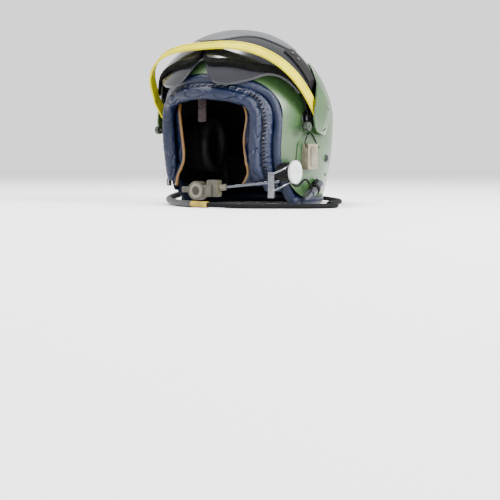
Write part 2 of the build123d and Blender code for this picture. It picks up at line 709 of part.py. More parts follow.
def pivot_drum(reach):
    return disc_x(reach, -OVERRUN * 6, OVERRUN * 6, PIVOT_Y, PIVOT_Z)


def shifted(points, rise):
    return [(x, t + rise) for x, t in points]


size = OUTER_LENS_RADIUS
outer_low = scaled(OUTER_LOW_SHARES, size)
outer_line = scaled(FRAME_LINE_SHARES, size)
outer_crest = scaled(CREST_SHARES, size)
outer_outside = pivot_form(OUTER_LENS_HALF_WIDTH, OUTER_LENS_RADIUS)
outer_inside = pivot_form(OUTER_LENS_HALF_WIDTH - LENS_THICK, OUTER_LENS_RADIUS - LENS_THICK)
outer_lens = (outer_outside - outer_inside) & visor_prism(outer_low, outer_crest)
outer_lens -= pivot_drum(LENS_ROOT_REACH)
keep("outer_visor_lens", outer_lens)

lip = TRIM_LIP
trim_outside = pivot_form(OUTER_LENS_HALF_WIDTH + lip, OUTER_LENS_RADIUS + lip)
trim_inside = pivot_form(
    OUTER_LENS_HALF_WIDTH - LENS_THICK - lip, OUTER_LENS_RADIUS - LENS_THICK - lip
)
trim_region = visor_prism(shifted(outer_low, -lip * 2), shifted(outer_low, TRIM_HEIGHT))
outer_trim = ((trim_outside - trim_inside) & trim_region) - outer_lens
outer_trim -= pivot_drum(TRIM_ROOT_REACH)
keep("outer_visor_trim", outer_trim)

frame_outside = pivot_form(OUTER_LENS_HALF_WIDTH + FRAME_THICK, OUTER_LENS_RADIUS + FRAME_THICK)
outer_frame = (frame_outside - outer_outside) & visor_prism(outer_line, outer_crest)
outer_frame &= Box(2 * BRACKET_INNER_X, 6 * SHELL_HALF_LENGTH, 6 * SHELL_HALF_LENGTH)
keep("outer_visor_frame", outer_frame)

size = INNER_LENS_RADIUS
inner_low = scaled(INNER_LOW_SHARES, size)
inner_high = scaled(INNER_HIGH_SHARES, size)
inner_outside = pivot_form(INNER_LENS_HALF_WIDTH, INNER_LENS_RADIUS)
inner_inside = pivot_form(INNER_LENS_HALF_WIDTH - LENS_THICK, INNER_LENS_RADIUS - LENS_THICK)
inner_lens = (inner_outside - inner_inside) & visor_prism(inner_low, inner_high)
inner_lens -= pivot_drum(LENS_ROOT_REACH - LENS_THICK)
keep("inner_visor_lens", inner_lens)


def arm_bar(angle, reach, root_half, tip_half):
    """A tapered bar from the pivot to a reach, seen from the side."""
    along = Vector(*about_pivot(angle, 1)) - Vector(PIVOT_Y, PIVOT_Z)
    across = along.rotate(Axis.Z, 90)
    centre = Vector(PIVOT_Y, PIVOT_Z)
    tip = centre + along * reach
    points = [centre + across * root_half, tip + across * tip_half]
    points += [tip - across * tip_half, centre - across * root_half]
    return make_face(Polyline(*points, close=True))


def hub_disc(x0, x1, radius):
    return disc_x(radius, x0, x1, PIVOT_Y, PIVOT_Z)


# Washer stack on the left pivot, from the shell outward
inner_arm_x = BOSS_OUTER_X + STACK_GAP
outer_arm_x = inner_arm_x + INNER_ARM_THICK + WASHER_INNER + 2 * STACK_GAP
hoop_x = HOOP_HALF_WIDTH - HOOP_THICK / 2
hoop_outer_x = HOOP_HALF_WIDTH + HOOP_THICK / 2
pin_hole = hub_disc(BOSS_OUTER_X - OVERRUN, hoop_outer_x + OVERRUN, PIN_RADIUS + FIT)


def visor_arm(x0, thick, bar, lens, outside, skin, reach, inner_x, top_x):
    """A flat arm at the pivot that carries on as a skin on the outside of its lens."""
    flat = side_prism(bar, x0, x0 + thick) & pivot_drum(ARM_ROOT_REACH)
    riser = side_prism(bar, x0, top_x) & pivot_drum(ARM_ROOT_REACH)
    riser = (riser & outside) - pivot_drum(ARM_LAYER_START)
    layer = (side_prism(bar, inner_x, top_x) & (skin - outside)) & pivot_drum(reach)
    layer -= pivot_drum(ARM_LAYER_START)
    arm = flat + hub_disc(x0, x0 + thick, HUB_RADIUS) + riser + layer
    arm = arm - lens - pin_hole
    return arm.solids().sort_by(SortBy.VOLUME)[-1]


def lever(x0, thick):
    bar = arm_bar(LEVER_ANGLE, LEVER_REACH, LEVER_HALF_WIDTH, LEVER_HALF_WIDTH)
    y, z = about_pivot(LEVER_ANGLE, LEVER_REACH)
    plate = side_prism(bar, x0, x0 + thick) + disc_x(LEVER_HALF_WIDTH, x0, x0 + thick, y, z)
    return plate


def lever_knob(base_x):
    """The ribbed knob with its stem and the cap on its top."""
    y, z = about_pivot(LEVER_ANGLE, LEVER_REACH)
    top_x = KNOB_TOP_X
    knob = disc_x(KNOB_RADIUS, top_x - KNOB_HEIGHT, top_x, y, z)
    knob = chamfer(knob.faces().sort_by(Axis.X)[-1].edges(), KNOB_CAP_HEIGHT)
    for i in range(KNOB_RIBS):
        turn = 2 * math.pi * i / KNOB_RIBS
        rib_y = y + KNOB_RADIUS * math.cos(turn)
        rib_z = z + KNOB_RADIUS * math.sin(turn)
        knob -= disc_x(KNOB_RIB_RADIUS, top_x - KNOB_HEIGHT, top_x, rib_y, rib_z)
    knob += disc_x(KNOB_STEM_RADIUS, base_x, top_x - KNOB_HEIGHT, y, z)
    knob += disc_x(KNOB_CAP_RADIUS, top_x, top_x + KNOB_CAP_HEIGHT, y, z)
    return knob


outer_skin = pivot_form(OUTER_LENS_HALF_WIDTH + ARM_THICK, OUTER_LENS_RADIUS + ARM_THICK)
outer_bar = arm_bar(OUTER_ARM_ANGLE, OUTER_ARM_REACH, OUTER_ARM_HALF_WIDTH, OUTER_ARM_TIP_HALF_WIDTH)
outer_solids = outer_lens + outer_frame + outer_trim
arm_left = visor_arm(
    outer_arm_x, ARM_THICK, outer_bar, outer_solids, outer_outside, outer_skin,
    OUTER_ARM_REACH, BRACKET_INNER_X, OUTER_ARM_TOP_X,
)
keep("outer_visor_arm_right", mirror(arm_left, about=Plane.YZ))
keep("outer_visor_arm_left", arm_left + (lever(outer_arm_x, ARM_THICK) - pin_hole))
keep("outer_visor_knob", lever_knob(outer_arm_x + ARM_THICK))

inner_skin = pivot_form(INNER_LENS_HALF_WIDTH + INNER_ARM_THICK, INNER_LENS_RADIUS + INNER_ARM_THICK)
inner_bar = arm_bar(INNER_ARM_ANGLE, INNER_ARM_REACH, INNER_ARM_HALF_WIDTH, INNER_ARM_HALF_WIDTH)
inner_arm = visor_arm(
    inner_arm_x, INNER_ARM_THICK, inner_bar, inner_lens, inner_outside, inner_skin,
    INNER_ARM_REACH, INNER_ARM_INNER_X, INNER_ARM_TOP_X,
)
inner_right = inner_arm + (lever(inner_arm_x, INNER_ARM_THICK) - pin_hole)
inner_arms = [inner_arm, mirror(inner_right, about=Plane.YZ)]
keep("inner_visor_arms", Compound(children=[s for arm in inner_arms for s in arm.solids()]))
inner_knob = lever_knob(inner_arm_x + INNER_ARM_THICK)
keep("inner_visor_knob", mirror(inner_knob, about=Plane.YZ))

# Screws that hold the outer lens to its arms
screws = []
for reach in BRACKET_SCREW_REACHES:
    y, z = about_pivot(OUTER_ARM_ANGLE, reach)
    for side in (1, -1):
        share = 1 - (reach / (OUTER_LENS_RADIUS + ARM_THICK)) ** 2
        x = (OUTER_LENS_HALF_WIDTH + ARM_THICK) * math.sqrt(share)
        normal = Vector(x / OUTER_LENS_HALF_WIDTH**2, (y - PIVOT_Y) / size**2, (z - PIVOT_Z) / size**2)
        normal = normal.normalized()
        at = Vector(x, y, z) - normal * (BRACKET_SCREW_HEIGHT / 2)
        top = at + normal * BRACKET_SCREW_HEIGHT * BRACKET_SCREW_PROUD_SHARE
        head = rod_between(at, top, BRACKET_SCREW_RADIUS)
        head -= outer_skin
        slot = Plane(origin=top, z_dir=normal)
        head -= slot * Box(BRACKET_SCREW_RADIUS * SCREW_SLOT_REACH_SHARE, SCREW_SLOT, SCREW_SLOT)
        screws.append(head if side > 0 else mirror(head, about=Plane.YZ))
keep("visor_arm_screws", Compound(children=[s for piece in screws for s in piece.solids()]))

# Guard hoop: a grooved band that swings about the same pivots
hoop_turn = math.radians(HOOP_ANGLE)
hoop_normal = Vector(0, math.sin(hoop_turn), math.cos(hoop_turn))
hoop_plane = Plane(origin=(0, PIVOT_Y, PIVOT_Z), x_dir=(1, 0, 0), z_dir=hoop_normal)


def hoop_curve(grow):
    """The hoop's half outline with its end on the pivot axis."""
    a, r = HOOP_HALF_WIDTH + grow, HOOP_RADIUS + grow
    points = []
    for i in range(HOOP_STEPS + 1):
        turn = math.pi * i / HOOP_STEPS
        c, s = math.cos(turn), math.sin(turn)
        x = a * math.copysign(abs(c) ** (2 / HOOP_POWER), c)
        points.append(Vector(x, -r * abs(s) ** (2 / HOOP_POWER)))
    return Spline(*points, tangents=[(0, -1), (0, 1)])


def hoop_band(outer_grow, inner_grow, width):
    outside, inside = hoop_curve(outer_grow), hoop_curve(inner_grow)
    ends = [Line(outside @ 0, inside @ 0), Line(outside @ 1, inside @ 1)]
    face = make_face(Curve() + [outside, inside] + ends)
    return extrude(hoop_plane * face, width / 2, both=True)


hoop = hoop_band(HOOP_THICK / 2, -HOOP_THICK / 2, HOOP_BAND)
groove = hoop_band(HOOP_THICK, HOOP_THICK / 2 - HOOP_GROOVE, HOOP_BAND - 2 * HOOP_LIP)
hoop -= groove - pivot_drum(HUB_RADIUS * 2)
for side in (1, -1):
    hub = hub_disc(hoop_x, hoop_outer_x, HUB_RADIUS)
    hoop += hub if side > 0 else mirror(hub, about=Plane.YZ)
hoop -= pin_hole + mirror(pin_hole, about=Plane.YZ)
keep("visor_guard_hoop", hoop)

# Pivot mounts, washers and pins
mount_oval = Pos(PIVOT_Y, PIVOT_Z) * Ellipse(*[BOSS_RADIUS * share for share in MOUNT_OVAL_SHARES])
mount_skin = helmet_form(-SEAT - PLATE_THICK, SHELL_RIM_Z)
mount = side_prism(mount_oval, SHELL_HALF_WIDTH / 2, BOSS_OUTER_X) & mount_skin
mount += hub_disc(BOSS_OUTER_X - 2 * BOSS_RADIUS, BOSS_OUTER_X, BOSS_RADIUS)
mount -= clear_form
outer_arm_outer_x = outer_arm_x + ARM_THICK
stack = [
    (inner_arm_x + INNER_ARM_THICK + STACK_GAP, outer_arm_x - STACK_GAP),
    (outer_arm_outer_x + STACK_GAP, hoop_x - STACK_GAP),
]
washers = [hub_disc(x0, x1, PIN_HEAD_RADIUS) - hub_disc(x0, x1, PIN_RADIUS) for x0, x1 in stack]
pair("pivot_washers", Compound(children=[w.solids()[0] for w in washers]))
head_x = hoop_outer_x + STACK_GAP
pin = hub_disc(PIN_INNER_X, head_x, PIN_RADIUS) + hub_disc(head_x, head_x + PIN_HEAD_THICK, PIN_HEAD_RADIUS)
pin -= clear_form
pair("pivot_posts", mount + pin)

# Side pods: hollow covers over the pivots, open towards the front


def ellipsoid(a, b, c, y, z):
    return Pos(0, y, z) * scale(Sphere(1), by=(a, b, c))


def pod_body(inset):
    wide, rear = POD_HALF_WIDTH - inset, POD_REAR_HALF_WIDTH - inset
    front = ellipsoid(wide, POD_LENGTH_RADIUS, POD_HEIGHT_RADIUS, PIVOT_Y, POD_CENTRE_Z)
    height = POD_REAR_HEIGHT_RADIUS - inset
    back = ellipsoid(rear, rear, height, POD_REAR_CENTRE_Y, POD_CENTRE_Z)
    return front & back


nose_low = about_pivot(-90, POD_NOSE_RADIUS)
nose_mid = about_pivot(-30, POD_NOSE_RADIUS)
nose_top = about_pivot(18, POD_NOSE_RADIUS)
unit_y = POD_REAR_Y - PIVOT_Y
unit_z = POD_FIN_Z - PIVOT_Z


def pod_point(y_share, z_share):
    return PIVOT_Y + y_share * unit_y, PIVOT_Z + z_share * unit_z


def pod_face(inset):
    """The pod's side outline, with every point moved towards its middle by inset."""
    middle = Vector(POD_RING_Y, POD_RING_Z)

    def inward(point):
        point = Vector(*point)
        return point + (middle - point).normalized() * inset

    low, mid, top = inward(nose_low), inward(nose_mid), inward(nose_top)
    tip = inward((POD_FIN_Y, POD_FIN_Z))
    nose = ThreePointArc(low, mid, top)
    fin_front = Spline(top, *[inward(pod_point(*p)) for p in POD_FIN_SHARES], tip)
    foot = inward((POD_FOOT_Y, nose_low[1] - POD_WALL))
    fin_rear = Spline(tip, *[inward(pod_point(*p)) for p in POD_REAR_SHARES], foot)
    return make_face(Curve() + [nose, fin_front, fin_rear, Line(foot, low)])


pod_outline = pod_face(0)
pod_core_outline = pod_face(POD_WALL)
pod_outer = side_prism(pod_outline, SHELL_HALF_WIDTH / 2, POD_HALF_WIDTH + OVERRUN) & pod_body(0)
core = side_prism(pod_core_outline, 0, POD_HALF_WIDTH + OVERRUN) & pod_body(POD_WALL)
mouth_face = make_face(
    Polyline(
        (POD_MOUTH_Y, PIVOT_Z - OVERRUN * 2),
        (POD_MOUTH_Y, POD_REAR_Z),
        (POD_FIN_Y - POD_WALL, POD_FIN_Z + POD_WALL),
        (-SHELL_HALF_LENGTH, POD_FIN_Z + OVERRUN),
        (-SHELL_HALF_LENGTH, PIVOT_Z - OVERRUN * 2),
        close=True,
    )
)
mouth = side_prism(mouth_face, 0, POD_HALF_WIDTH + OVERRUN) & pod_body(POD_WALL)
pod = pod_outer - core - mouth - clear_form
pod = pod.solids().sort_by(SortBy.VOLUME)[-1]
pod_clear_x = POD_HALF_WIDTH + OVERRUN
ring_hole = disc_x(POD_RING_RADIUS, 0, pod_clear_x, POD_RING_Y, POD_RING_Z)
ring_island = disc_x(POD_RING_RADIUS - POD_RING_SLOT, 0, pod_clear_x, POD_RING_Y, POD_RING_Z)
slot_place = Pos(POD_SLOT_Y, POD_SLOT_Z) * Rot(0, 0, POD_SLOT_TILT)
slot_face = slot_place * SlotOverall(POD_SLOT_LENGTH, POD_SLOT_HEIGHT)
slot = side_prism(slot_face, PIVOT_Z, POD_HALF_WIDTH + OVERRUN)
ring_cut = ring_hole - ring_island
web = Pos(POD_HALF_WIDTH, POD_RING_Y, POD_RING_Z) * Rot(POD_RING_OPEN_ANGLE, 0, 0)
ring_cut -= web * Pos(0, POD_RING_RADIUS, 0) * Box(OVERRUN * 2, POD_RING_RADIUS * 2, POD_RING_RADIUS)
pod = pod - ring_cut - slot
pair("side_pods", pod)

# Mask receivers: a curved plate, a box with a sprung button and a wire bail
plate_skin = helmet_form(-SEAT - PLATE_THICK, SHELL_RIM_Z)
plate_mid_y = (PLATE_FRONT_Y + PLATE_REAR_Y) / 2
plate_mid_z = (PLATE_BOTTOM_Z + PLATE_TOP_Z) / 2
plate_face = Pos(plate_mid_y, plate_mid_z) * RectangleRounded(
    PLATE_REAR_Y - PLATE_FRONT_Y, PLATE_TOP_Z - PLATE_BOTTOM_Z, PLATE_CORNER
)
plate = (side_prism(plate_face, SHELL_HALF_WIDTH / 2, pod_clear_x) & plate_skin) - clear_form
pair("receiver_plates", plate)
box_face = Pos(RECEIVER_Y, RECEIVER_Z) * RectangleRounded(RECEIVER_LENGTH, RECEIVER_HEIGHT, RECEIVER_CORNER)
box = side_prism(box_face, SHELL_HALF_WIDTH / 2, RECEIVER_OUTER_X) - plate_skin
slot_depth_x = RECEIVER_OUTER_X - BUTTON_SEAT_DEPTH
button_hole = Pos(RECEIVER_Y, RECEIVER_Z) * RectangleRounded(
    BUTTON_LENGTH + 2 * BUTTON_CLEAR, BUTTON_HEIGHT + 2 * BUTTON_CLEAR, RECEIVER_CORNER
)
box -= side_prism(button_hole, slot_depth_x, RECEIVER_OUTER_X + OVERRUN)
box = box.solids().sort_by(SortBy.VOLUME)[-1]
button_face = Pos(RECEIVER_Y, RECEIVER_Z) * RectangleRounded(BUTTON_LENGTH, BUTTON_HEIGHT, RECEIVER_CORNER)
button_back_x = slot_depth_x + BUTTON_TRAVEL + SEAT
button = side_prism(button_face, button_back_x, RECEIVER_OUTER_X + BUTTON_PROUD)
both_sides("receiver_button", button)

bail_z = RECEIVER_Z + RECEIVER_HEIGHT / 2 - BAIL_SINK
bail_x = RECEIVER_OUTER_X - BAIL_WIRE_RADIUS - SEAT
shoulder_x = bail_x + BAIL_LEAN * BAIL_SHOULDER_SHARE
bail_points = [
    Vector(bail_x, RECEIVER_Y - BAIL_SPAN, bail_z),
    Vector(shoulder_x, RECEIVER_Y - BAIL_SPAN, bail_z + BAIL_RISE / 2),
    Vector(bail_x + BAIL_LEAN, RECEIVER_Y - BAIL_TOP_SPAN, bail_z + BAIL_RISE + BAIL_SINK),
    Vector(bail_x + BAIL_LEAN, RECEIVER_Y + BAIL_TOP_SPAN, bail_z + BAIL_RISE + BAIL_SINK),
    Vector(shoulder_x, RECEIVER_Y + BAIL_SPAN, bail_z + BAIL_RISE / 2),
    Vector(bail_x, RECEIVER_Y + BAIL_SPAN, bail_z),
]
bail_wire = tube(bail_points, BAIL_WIRE_RADIUS)
for y in (RECEIVER_Y - BAIL_SPAN, RECEIVER_Y + BAIL_SPAN):
    bail_wire += Pos(bail_x, y, bail_z) * Rot(90, 0, 0) * Cylinder(BAIL_LUG_RADIUS, 2 * BAIL_WIRE_RADIUS)
axle_length = 2 * BAIL_SPAN + 2 * BAIL_WIRE_RADIUS
axle_place = Pos(bail_x, RECEIVER_Y, bail_z) * Rot(90, 0, 0)
bail_wire -= axle_place * Cylinder(BAIL_WIRE_RADIUS + FIT, axle_length * BAIL_BORE_SHARE)
both_sides("receiver_bail", bail_wire)
axle = axle_place * Cylinder(BAIL_WIRE_RADIUS, axle_length)
both_sides("mask_receiver", box + (axle - side_prism(button_hole, 0, RECEIVER_OUTER_X * 2)))

# Studs at the rear sides and flush rivets
stud_x = form_side_x(STUD_Y, STUD_Z, 0)
stud_normal = Vector(stud_x / SHELL_HALF_WIDTH**2, STUD_Y / SHELL_HALF_LENGTH**2, 0).normalized()
stud_at = Vector(stud_x, STUD_Y, STUD_Z)
stud = rod_between(stud_at - stud_normal * STUD_HEIGHT, stud_at + stud_normal * STUD_HEIGHT, STUD_RADIUS)
stud += rod_between(stud_at, stud_at + stud_normal * STUD_HEIGHT / 2, STUD_RADIUS * STUD_SKIRT_SHARE)
pair("rear_studs", stud - clear_form)
rivets = []
for y_share, z_share in RIVET_PLACE_SHARES:
    y, z = y_share * SHELL_HALF_LENGTH, z_share * SHELL_WIDEST_Z
    x = form_side_x(y, z, 0)
    out = Vector(x / SHELL_HALF_WIDTH**2, y / SHELL_HALF_LENGTH**2, 0).normalized()
    at = Vector(x, y, z)
    rivet = rod_between(at - out * RIVET_RADIUS, at + out * RIVET_HEIGHT, RIVET_RADIUS) - clear_form
    rivets += [rivet, mirror(rivet, about=Plane.YZ)]
keep("shell_rivets", Compound(children=[s for r in rivets for s in r.solids()]))

# Boom: base on the shell, swivel hub, fork wires, clamp, rod and microphone
base_skin = helmet_form(-SEAT, SHELL_RIM_Z)
boom_base = disc_x(BOOM_BASE_RADIUS, SHELL_HALF_WIDTH / 2, BOOM_BASE_OUTER_X, BOOM_Y, BOOM_Z) - base_skin
boom_base = boom_base.solids().sort_by(SortBy.VOLUME)[-1]
hub_x = BOOM_BASE_OUTER_X + STACK_GAP
hub_outer_x = hub_x + BOOM_HUB_THICK
knob_x = hub_outer_x + STACK_GAP
boom_stud = disc_x(BOOM_STUD_RADIUS, BOOM_BASE_OUTER_X, knob_x + BOOM_KNOB_THICK / 2, BOOM_Y, BOOM_Z)
keep("boom_base", boom_base + boom_stud)
boom_hub = disc_x(BOOM_HUB_RADIUS, hub_x, hub_outer_x, BOOM_Y, BOOM_Z)
boom_hub -= disc_x(BOOM_STUD_RADIUS + FIT, 0, hub_outer_x + OVERRUN, BOOM_Y, BOOM_Z)
boom_knob = disc_x(BOOM_KNOB_RADIUS, knob_x, knob_x + BOOM_KNOB_THICK, BOOM_Y, BOOM_Z)
boom_knob = fillet(boom_knob.faces().sort_by(Axis.X)[-1].edges(), BOOM_KNOB_DOME)
boom_knob -= disc_x(BOOM_STUD_RADIUS + FIT, 0, knob_x + BOOM_KNOB_THICK / 2 + FIT, BOOM_Y, BOOM_Z)
keep("boom_knob", boom_knob)

clamp_at = Vector(CLAMP_X, CLAMP_Y, CLAMP_Z)
collar_at = Vector(*COLLAR_AT)
rod_dir = (collar_at - clamp_at).normalized()
clamp_turn = math.degrees(math.atan2(rod_dir.Y, rod_dir.X))
clamp_mid_z = CLAMP_Z + (CLAMP_TOP - CLAMP_BOTTOM) / 2
clamp_height = CLAMP_TOP + CLAMP_BOTTOM
clamp_frame = Pos(CLAMP_X, CLAMP_Y, clamp_mid_z) * Rot(0, 0, clamp_turn)
clamp_block = clamp_frame * Box(CLAMP_WIDTH, CLAMP_DEPTH, clamp_height)
clamp_block = fillet(clamp_block.edges().filter_by(Axis.Z), CLAMP_JAW_GAP)
rod_tail = clamp_at - rod_dir * ROD_TAIL
rod_hole = rod_between(rod_tail, collar_at, ROD_RADIUS + FIT)
wires = []
for sign in (1, -1):
    start = Vector((hub_x + hub_outer_x) / 2, BOOM_Y, BOOM_Z + sign * FORK_HALF_SPREAD)
    end = Vector(CLAMP_X, CLAMP_Y, clamp_mid_z + sign * FORK_HALF_SPREAD)
    bend_y = BOOM_Y - BOOM_BASE_RADIUS - 2 * FORK_WIRE_RADIUS
    bend = Vector(start.X, bend_y, (2 * start.Z + end.Z) / 3)
    wire = tube([start, bend, end], FORK_WIRE_RADIUS) - boom_hub - clamp_block
    wires.append(wire.solids().sort_by(SortBy.VOLUME)[-1])
keep("boom_hub", boom_hub)
keep("boom_fork_wires", Compound(children=wires))
clamp_block -= rod_hole
clamp_block -= clamp_frame * Pos(0, -CLAMP_DEPTH / 2, CLAMP_Z - clamp_mid_z) * Box(
    CLAMP_WIDTH * 2, CLAMP_DEPTH, CLAMP_JAW_GAP
)
foot = clamp_frame * Pos(0, 0, -clamp_height / 2 - CLAMP_FOOT_HEIGHT / 2) * Box(
    CLAMP_WIDTH, CLAMP_DEPTH, CLAMP_FOOT_HEIGHT
)
keep("boom_clamp", clamp_block + foot)
clamp_screws = []
for sign in (1, -1):
    screw_z = sign * CLAMP_WIDTH * CLAMP_SCREW_SHARE + (CLAMP_Z - clamp_mid_z)
    spot = clamp_frame * Pos(0, -CLAMP_DEPTH / 2 - SCREW_HEAD / 2, screw_z)
    head = spot * Rot(90, 0, 0) * Cylinder(SCREW_RADIUS, SCREW_HEAD)
    slot_bar = Box(SCREW_RADIUS * SCREW_SLOT_REACH_SHARE, SCREW_SLOT, SCREW_SLOT)
    head -= spot * Pos(0, -SCREW_HEAD / 2, 0) * slot_bar
    clamp_screws.append(head.solids()[0])
keep("boom_clamp_screws", Compound(children=clamp_screws))

rod_end = collar_at + rod_dir * COLLAR_BORE_DEPTH
keep("boom_rod", rod_between(rod_tail, rod_end, ROD_RADIUS))
collar_tip = collar_at + rod_dir * COLLAR_LENGTH
mic_block_at = collar_tip + rod_dir * (MIC_BLOCK_LENGTH / 2)
block = Pos(*mic_block_at) * Box(MIC_BLOCK_LENGTH, MIC_BLOCK_THICK, MIC_BLOCK_HEIGHT)
block = fillet(block.edges().filter_by(Axis.Y), MIC_RIM)
disc = Pos(MIC_X, MIC_Y, MIC_Z) * Rot(90, 0, 0) * Cylinder(MIC_RADIUS, MIC_THICK)
bridge = Pos((MIC_X + mic_block_at.X) / 2, MIC_Y, MIC_Z) * Box(
    mic_block_at.X - MIC_X, MIC_BLOCK_THICK, MIC_BLOCK_HEIGHT * MIC_BRIDGE_SHARE
)
tab_at = Pos(MIC_X - MIC_RADIUS - MIC_TAB_LENGTH / 2 + MIC_RIM, MIC_Y, MIC_Z + MIC_RIM / 2)
tab = tab_at * Box(MIC_TAB_LENGTH, MIC_TAB_THICK, MIC_TAB_HEIGHT)
tab = fillet(tab.edges().filter_by(Axis.Y), MIC_RIM / 2)
housing = block + disc + bridge + tab
face_y = MIC_Y - MIC_THICK / 2
recess = Pos(MIC_X, face_y, MIC_Z) * Rot(90, 0, 0) * Cylinder(MIC_RADIUS - MIC_RIM, 2 * MIC_RIM_PROUD)
housing -= recess
collar = rod_between(collar_at, collar_tip, COLLAR_RADIUS)
collar_bore = rod_between(collar_at - rod_dir * SEAT, rod_end + rod_dir * SEAT, ROD_RADIUS + FIT)
housing -= collar + collar_bore
keep("mic_housing", housing)
keep("mic_collar", collar - collar_bore)
face_place = Pos(MIC_X, face_y + MIC_RIM_PROUD / 2, MIC_Z) * Rot(90, 0, 0)
ring_disc = face_place * Cylinder(MIC_RADIUS - MIC_RIM - FIT, MIC_RIM_PROUD)
mesh_disc = face_place * Cylinder(MIC_MESH_RADIUS, 4 * MIC_RIM_PROUD)
keep("mic_ring", ring_disc - mesh_disc)
keep("mic_mesh", ring_disc & (Pos(0, MIC_MESH_SINK, 0) * mesh_disc))

# Lead connector on the rim, with the microphone lead into it
rear, front = Vector(*CONNECTOR_REAR), Vector(*CONNECTOR_FRONT)
line_dir = (front - rear).normalized()
barrel_end = rear + (front - rear) * CONNECTOR_SLEEVE_SHARE
barrel = rod_between(rear, barrel_end, CONNECTOR_RADIUS)
barrel = chamfer(barrel.edges().sort_by(Axis.Y)[-1], CONNECTOR_RADIUS / 4)
ring_end = barrel_end + line_dir * CONNECTOR_RING_LENGTH
ring = rod_between(barrel_end, ring_end, CONNECTOR_RING_RADIUS)
sleeve = rod_between(ring_end, front, CONNECTOR_RADIUS)
boot_tip = front + line_dir * CONNECTOR_BOOT_LENGTH
boot = rod_between(front, boot_tip, CONNECTOR_BOOT_RADIUS, CONNECTOR_BOOT_TIP_RADIUS)
saddle_in = line_dir * SADDLE_THICK
saddle = rod_between(rear + saddle_in, barrel_end - saddle_in, CONNECTOR_RADIUS + SADDLE_THICK)
saddle_reach = Box(4 * CONNECTOR_RADIUS, 6 * CONNECTOR_RADIUS, 6 * CONNECTOR_RADIUS)
saddle &= Pos(*((rear + barrel_end) / 2 - Vector(2 * CONNECTOR_RADIUS, 0, 0))) * saddle_reach
saddle -= barrel + base_skin
saddle = saddle.solids().sort_by(SortBy.VOLUME)[-1]
for name, piece in (
    ("connector_body", barrel + rod_between(barrel_end, ring_end, CONNECTOR_RADIUS) + sleeve + boot),
    ("connector_ring", ring - rod_between(barrel_end, ring_end, CONNECTOR_RADIUS)),
    ("connector_saddle", saddle),
):
    piece -= clear_form + made["nape_roll"]
    keep(name, piece.solids().sort_by(SortBy.VOLUME)[-1])

# Corner tab with its snap studs
corner_frame = Pos(CORNER_TAB_X, CORNER_TAB_Y, CORNER_TAB_Z) * Rot(0, 0, CORNER_TAB_TURN)
corner_tab = corner_frame * Box(CORNER_TAB_LENGTH, CORNER_TAB_THICK, CORNER_TAB_HEIGHT)
corner_tab -= made["face_roll_outer"] + made["face_roll_inner"] + base_skin
corner_tab = corner_tab.solids().sort_by(SortBy.VOLUME)[-1]
keep("snap_tab", mirror(corner_tab, about=Plane.YZ))
snaps = []
for sign in (1, -1):
    at = corner_frame * Pos(sign * SNAP_PITCH / 2, -(CORNER_TAB_THICK + SNAP_HEIGHT) / 2, 0)
    snap = at * Rot(90, 0, 0) * Cylinder(SNAP_RADIUS, SNAP_HEIGHT)
    snaps.append(snap.solids()[0])
snap_group = Compound(children=snaps)
keep("snap_studs", mirror(snap_group, about=Plane.YZ))

# Microphone lead from the boom base to the connector
lead_points = [Vector(*p) for p in LEAD_POINTS]
mic_lead = tube(lead_points, LEAD_RADIUS)
mic_lead -= made["boom_base"] + made["connector_body"] + made["connector_ring"]
keep("mic_lead", mic_lead.solids().sort_by(SortBy.VOLUME)[-1])

# Communication lead
gland_start, gland_end = Vector(*GLAND_START), Vector(*GLAND_END)
gland = rod_between(gland_start, gland_end, GLAND_RADIUS, GLAND_TIP_RADIUS)
gland_reach = (gland_end - gland_start).normalized() * GLAND_FOOT_HALF_LENGTH
gland += rod_between(gland_start - gland_reach, gland_start + gland_reach, GLAND_FOOT_RADIUS)
gland -= base_skin
cord_points = [gland_end] + [Vector(x, y, z if z else CORD_RADIUS + CORD_LIE) for x, y, z in CORD_POINTS]
cord_path = smooth_path(cord_points)
cord_start = Plane(origin=cord_path @ 0, z_dir=cord_path % 0)
comm_cord = sweep(cord_start * Circle(CORD_RADIUS), path=cord_path)
keep("comm_cord", comm_cord)
keep("cord_gland", (gland - comm_cord).solids().sort_by(SortBy.VOLUME)[-1])


def sleeve_on_cord(start, end, wall):
    """A sleeve round the cord between two lengths along it."""
    piece = cord_path.trim(start / cord_path.length, end / cord_path.length)
    plane = Plane(origin=piece @ 0, z_dir=piece % 0)
    ring = Circle(CORD_RADIUS + SLEEVE_CLEAR + wall) - Circle(CORD_RADIUS + SLEEVE_CLEAR)
    return sweep(plane * ring, path=piece)


keep("cord_sleeve_grey", sleeve_on_cord(GREY_START, GREY_END, SLEEVE_WALL))
keep("cord_sleeve_yellow", sleeve_on_cord(GREY_END + SLEEVE_CLEAR, YELLOW_END, YELLOW_WALL))
plug_at, plug_dir = cord_path @ 1, cord_path % 1
boot_end = plug_at + plug_dir * PLUG_BOOT_LENGTH
plug_end = boot_end + plug_dir * PLUG_LENGTH
pin_end = plug_end + plug_dir * PLUG_PIN_LENGTH
plug_boot = rod_between(plug_at, boot_end, CORD_RADIUS, PLUG_BOOT_RADIUS)
keep("plug_body", plug_boot + rod_between(boot_end, plug_end, PLUG_RADIUS))
plug_pin = rod_between(plug_end, pin_end, PLUG_PIN_RADIUS)
keep("plug_pin", plug_pin)

for name, piece in made.items():
    export_step(piece, f"parts/{name}.step")
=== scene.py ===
"""The looks of a pilot's flight helmet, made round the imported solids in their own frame."""

import math

import bmesh
import bpy
from bpy.props import FloatProperty, FloatVectorProperty, IntProperty, PointerProperty
from mathutils import Matrix, Vector, noise


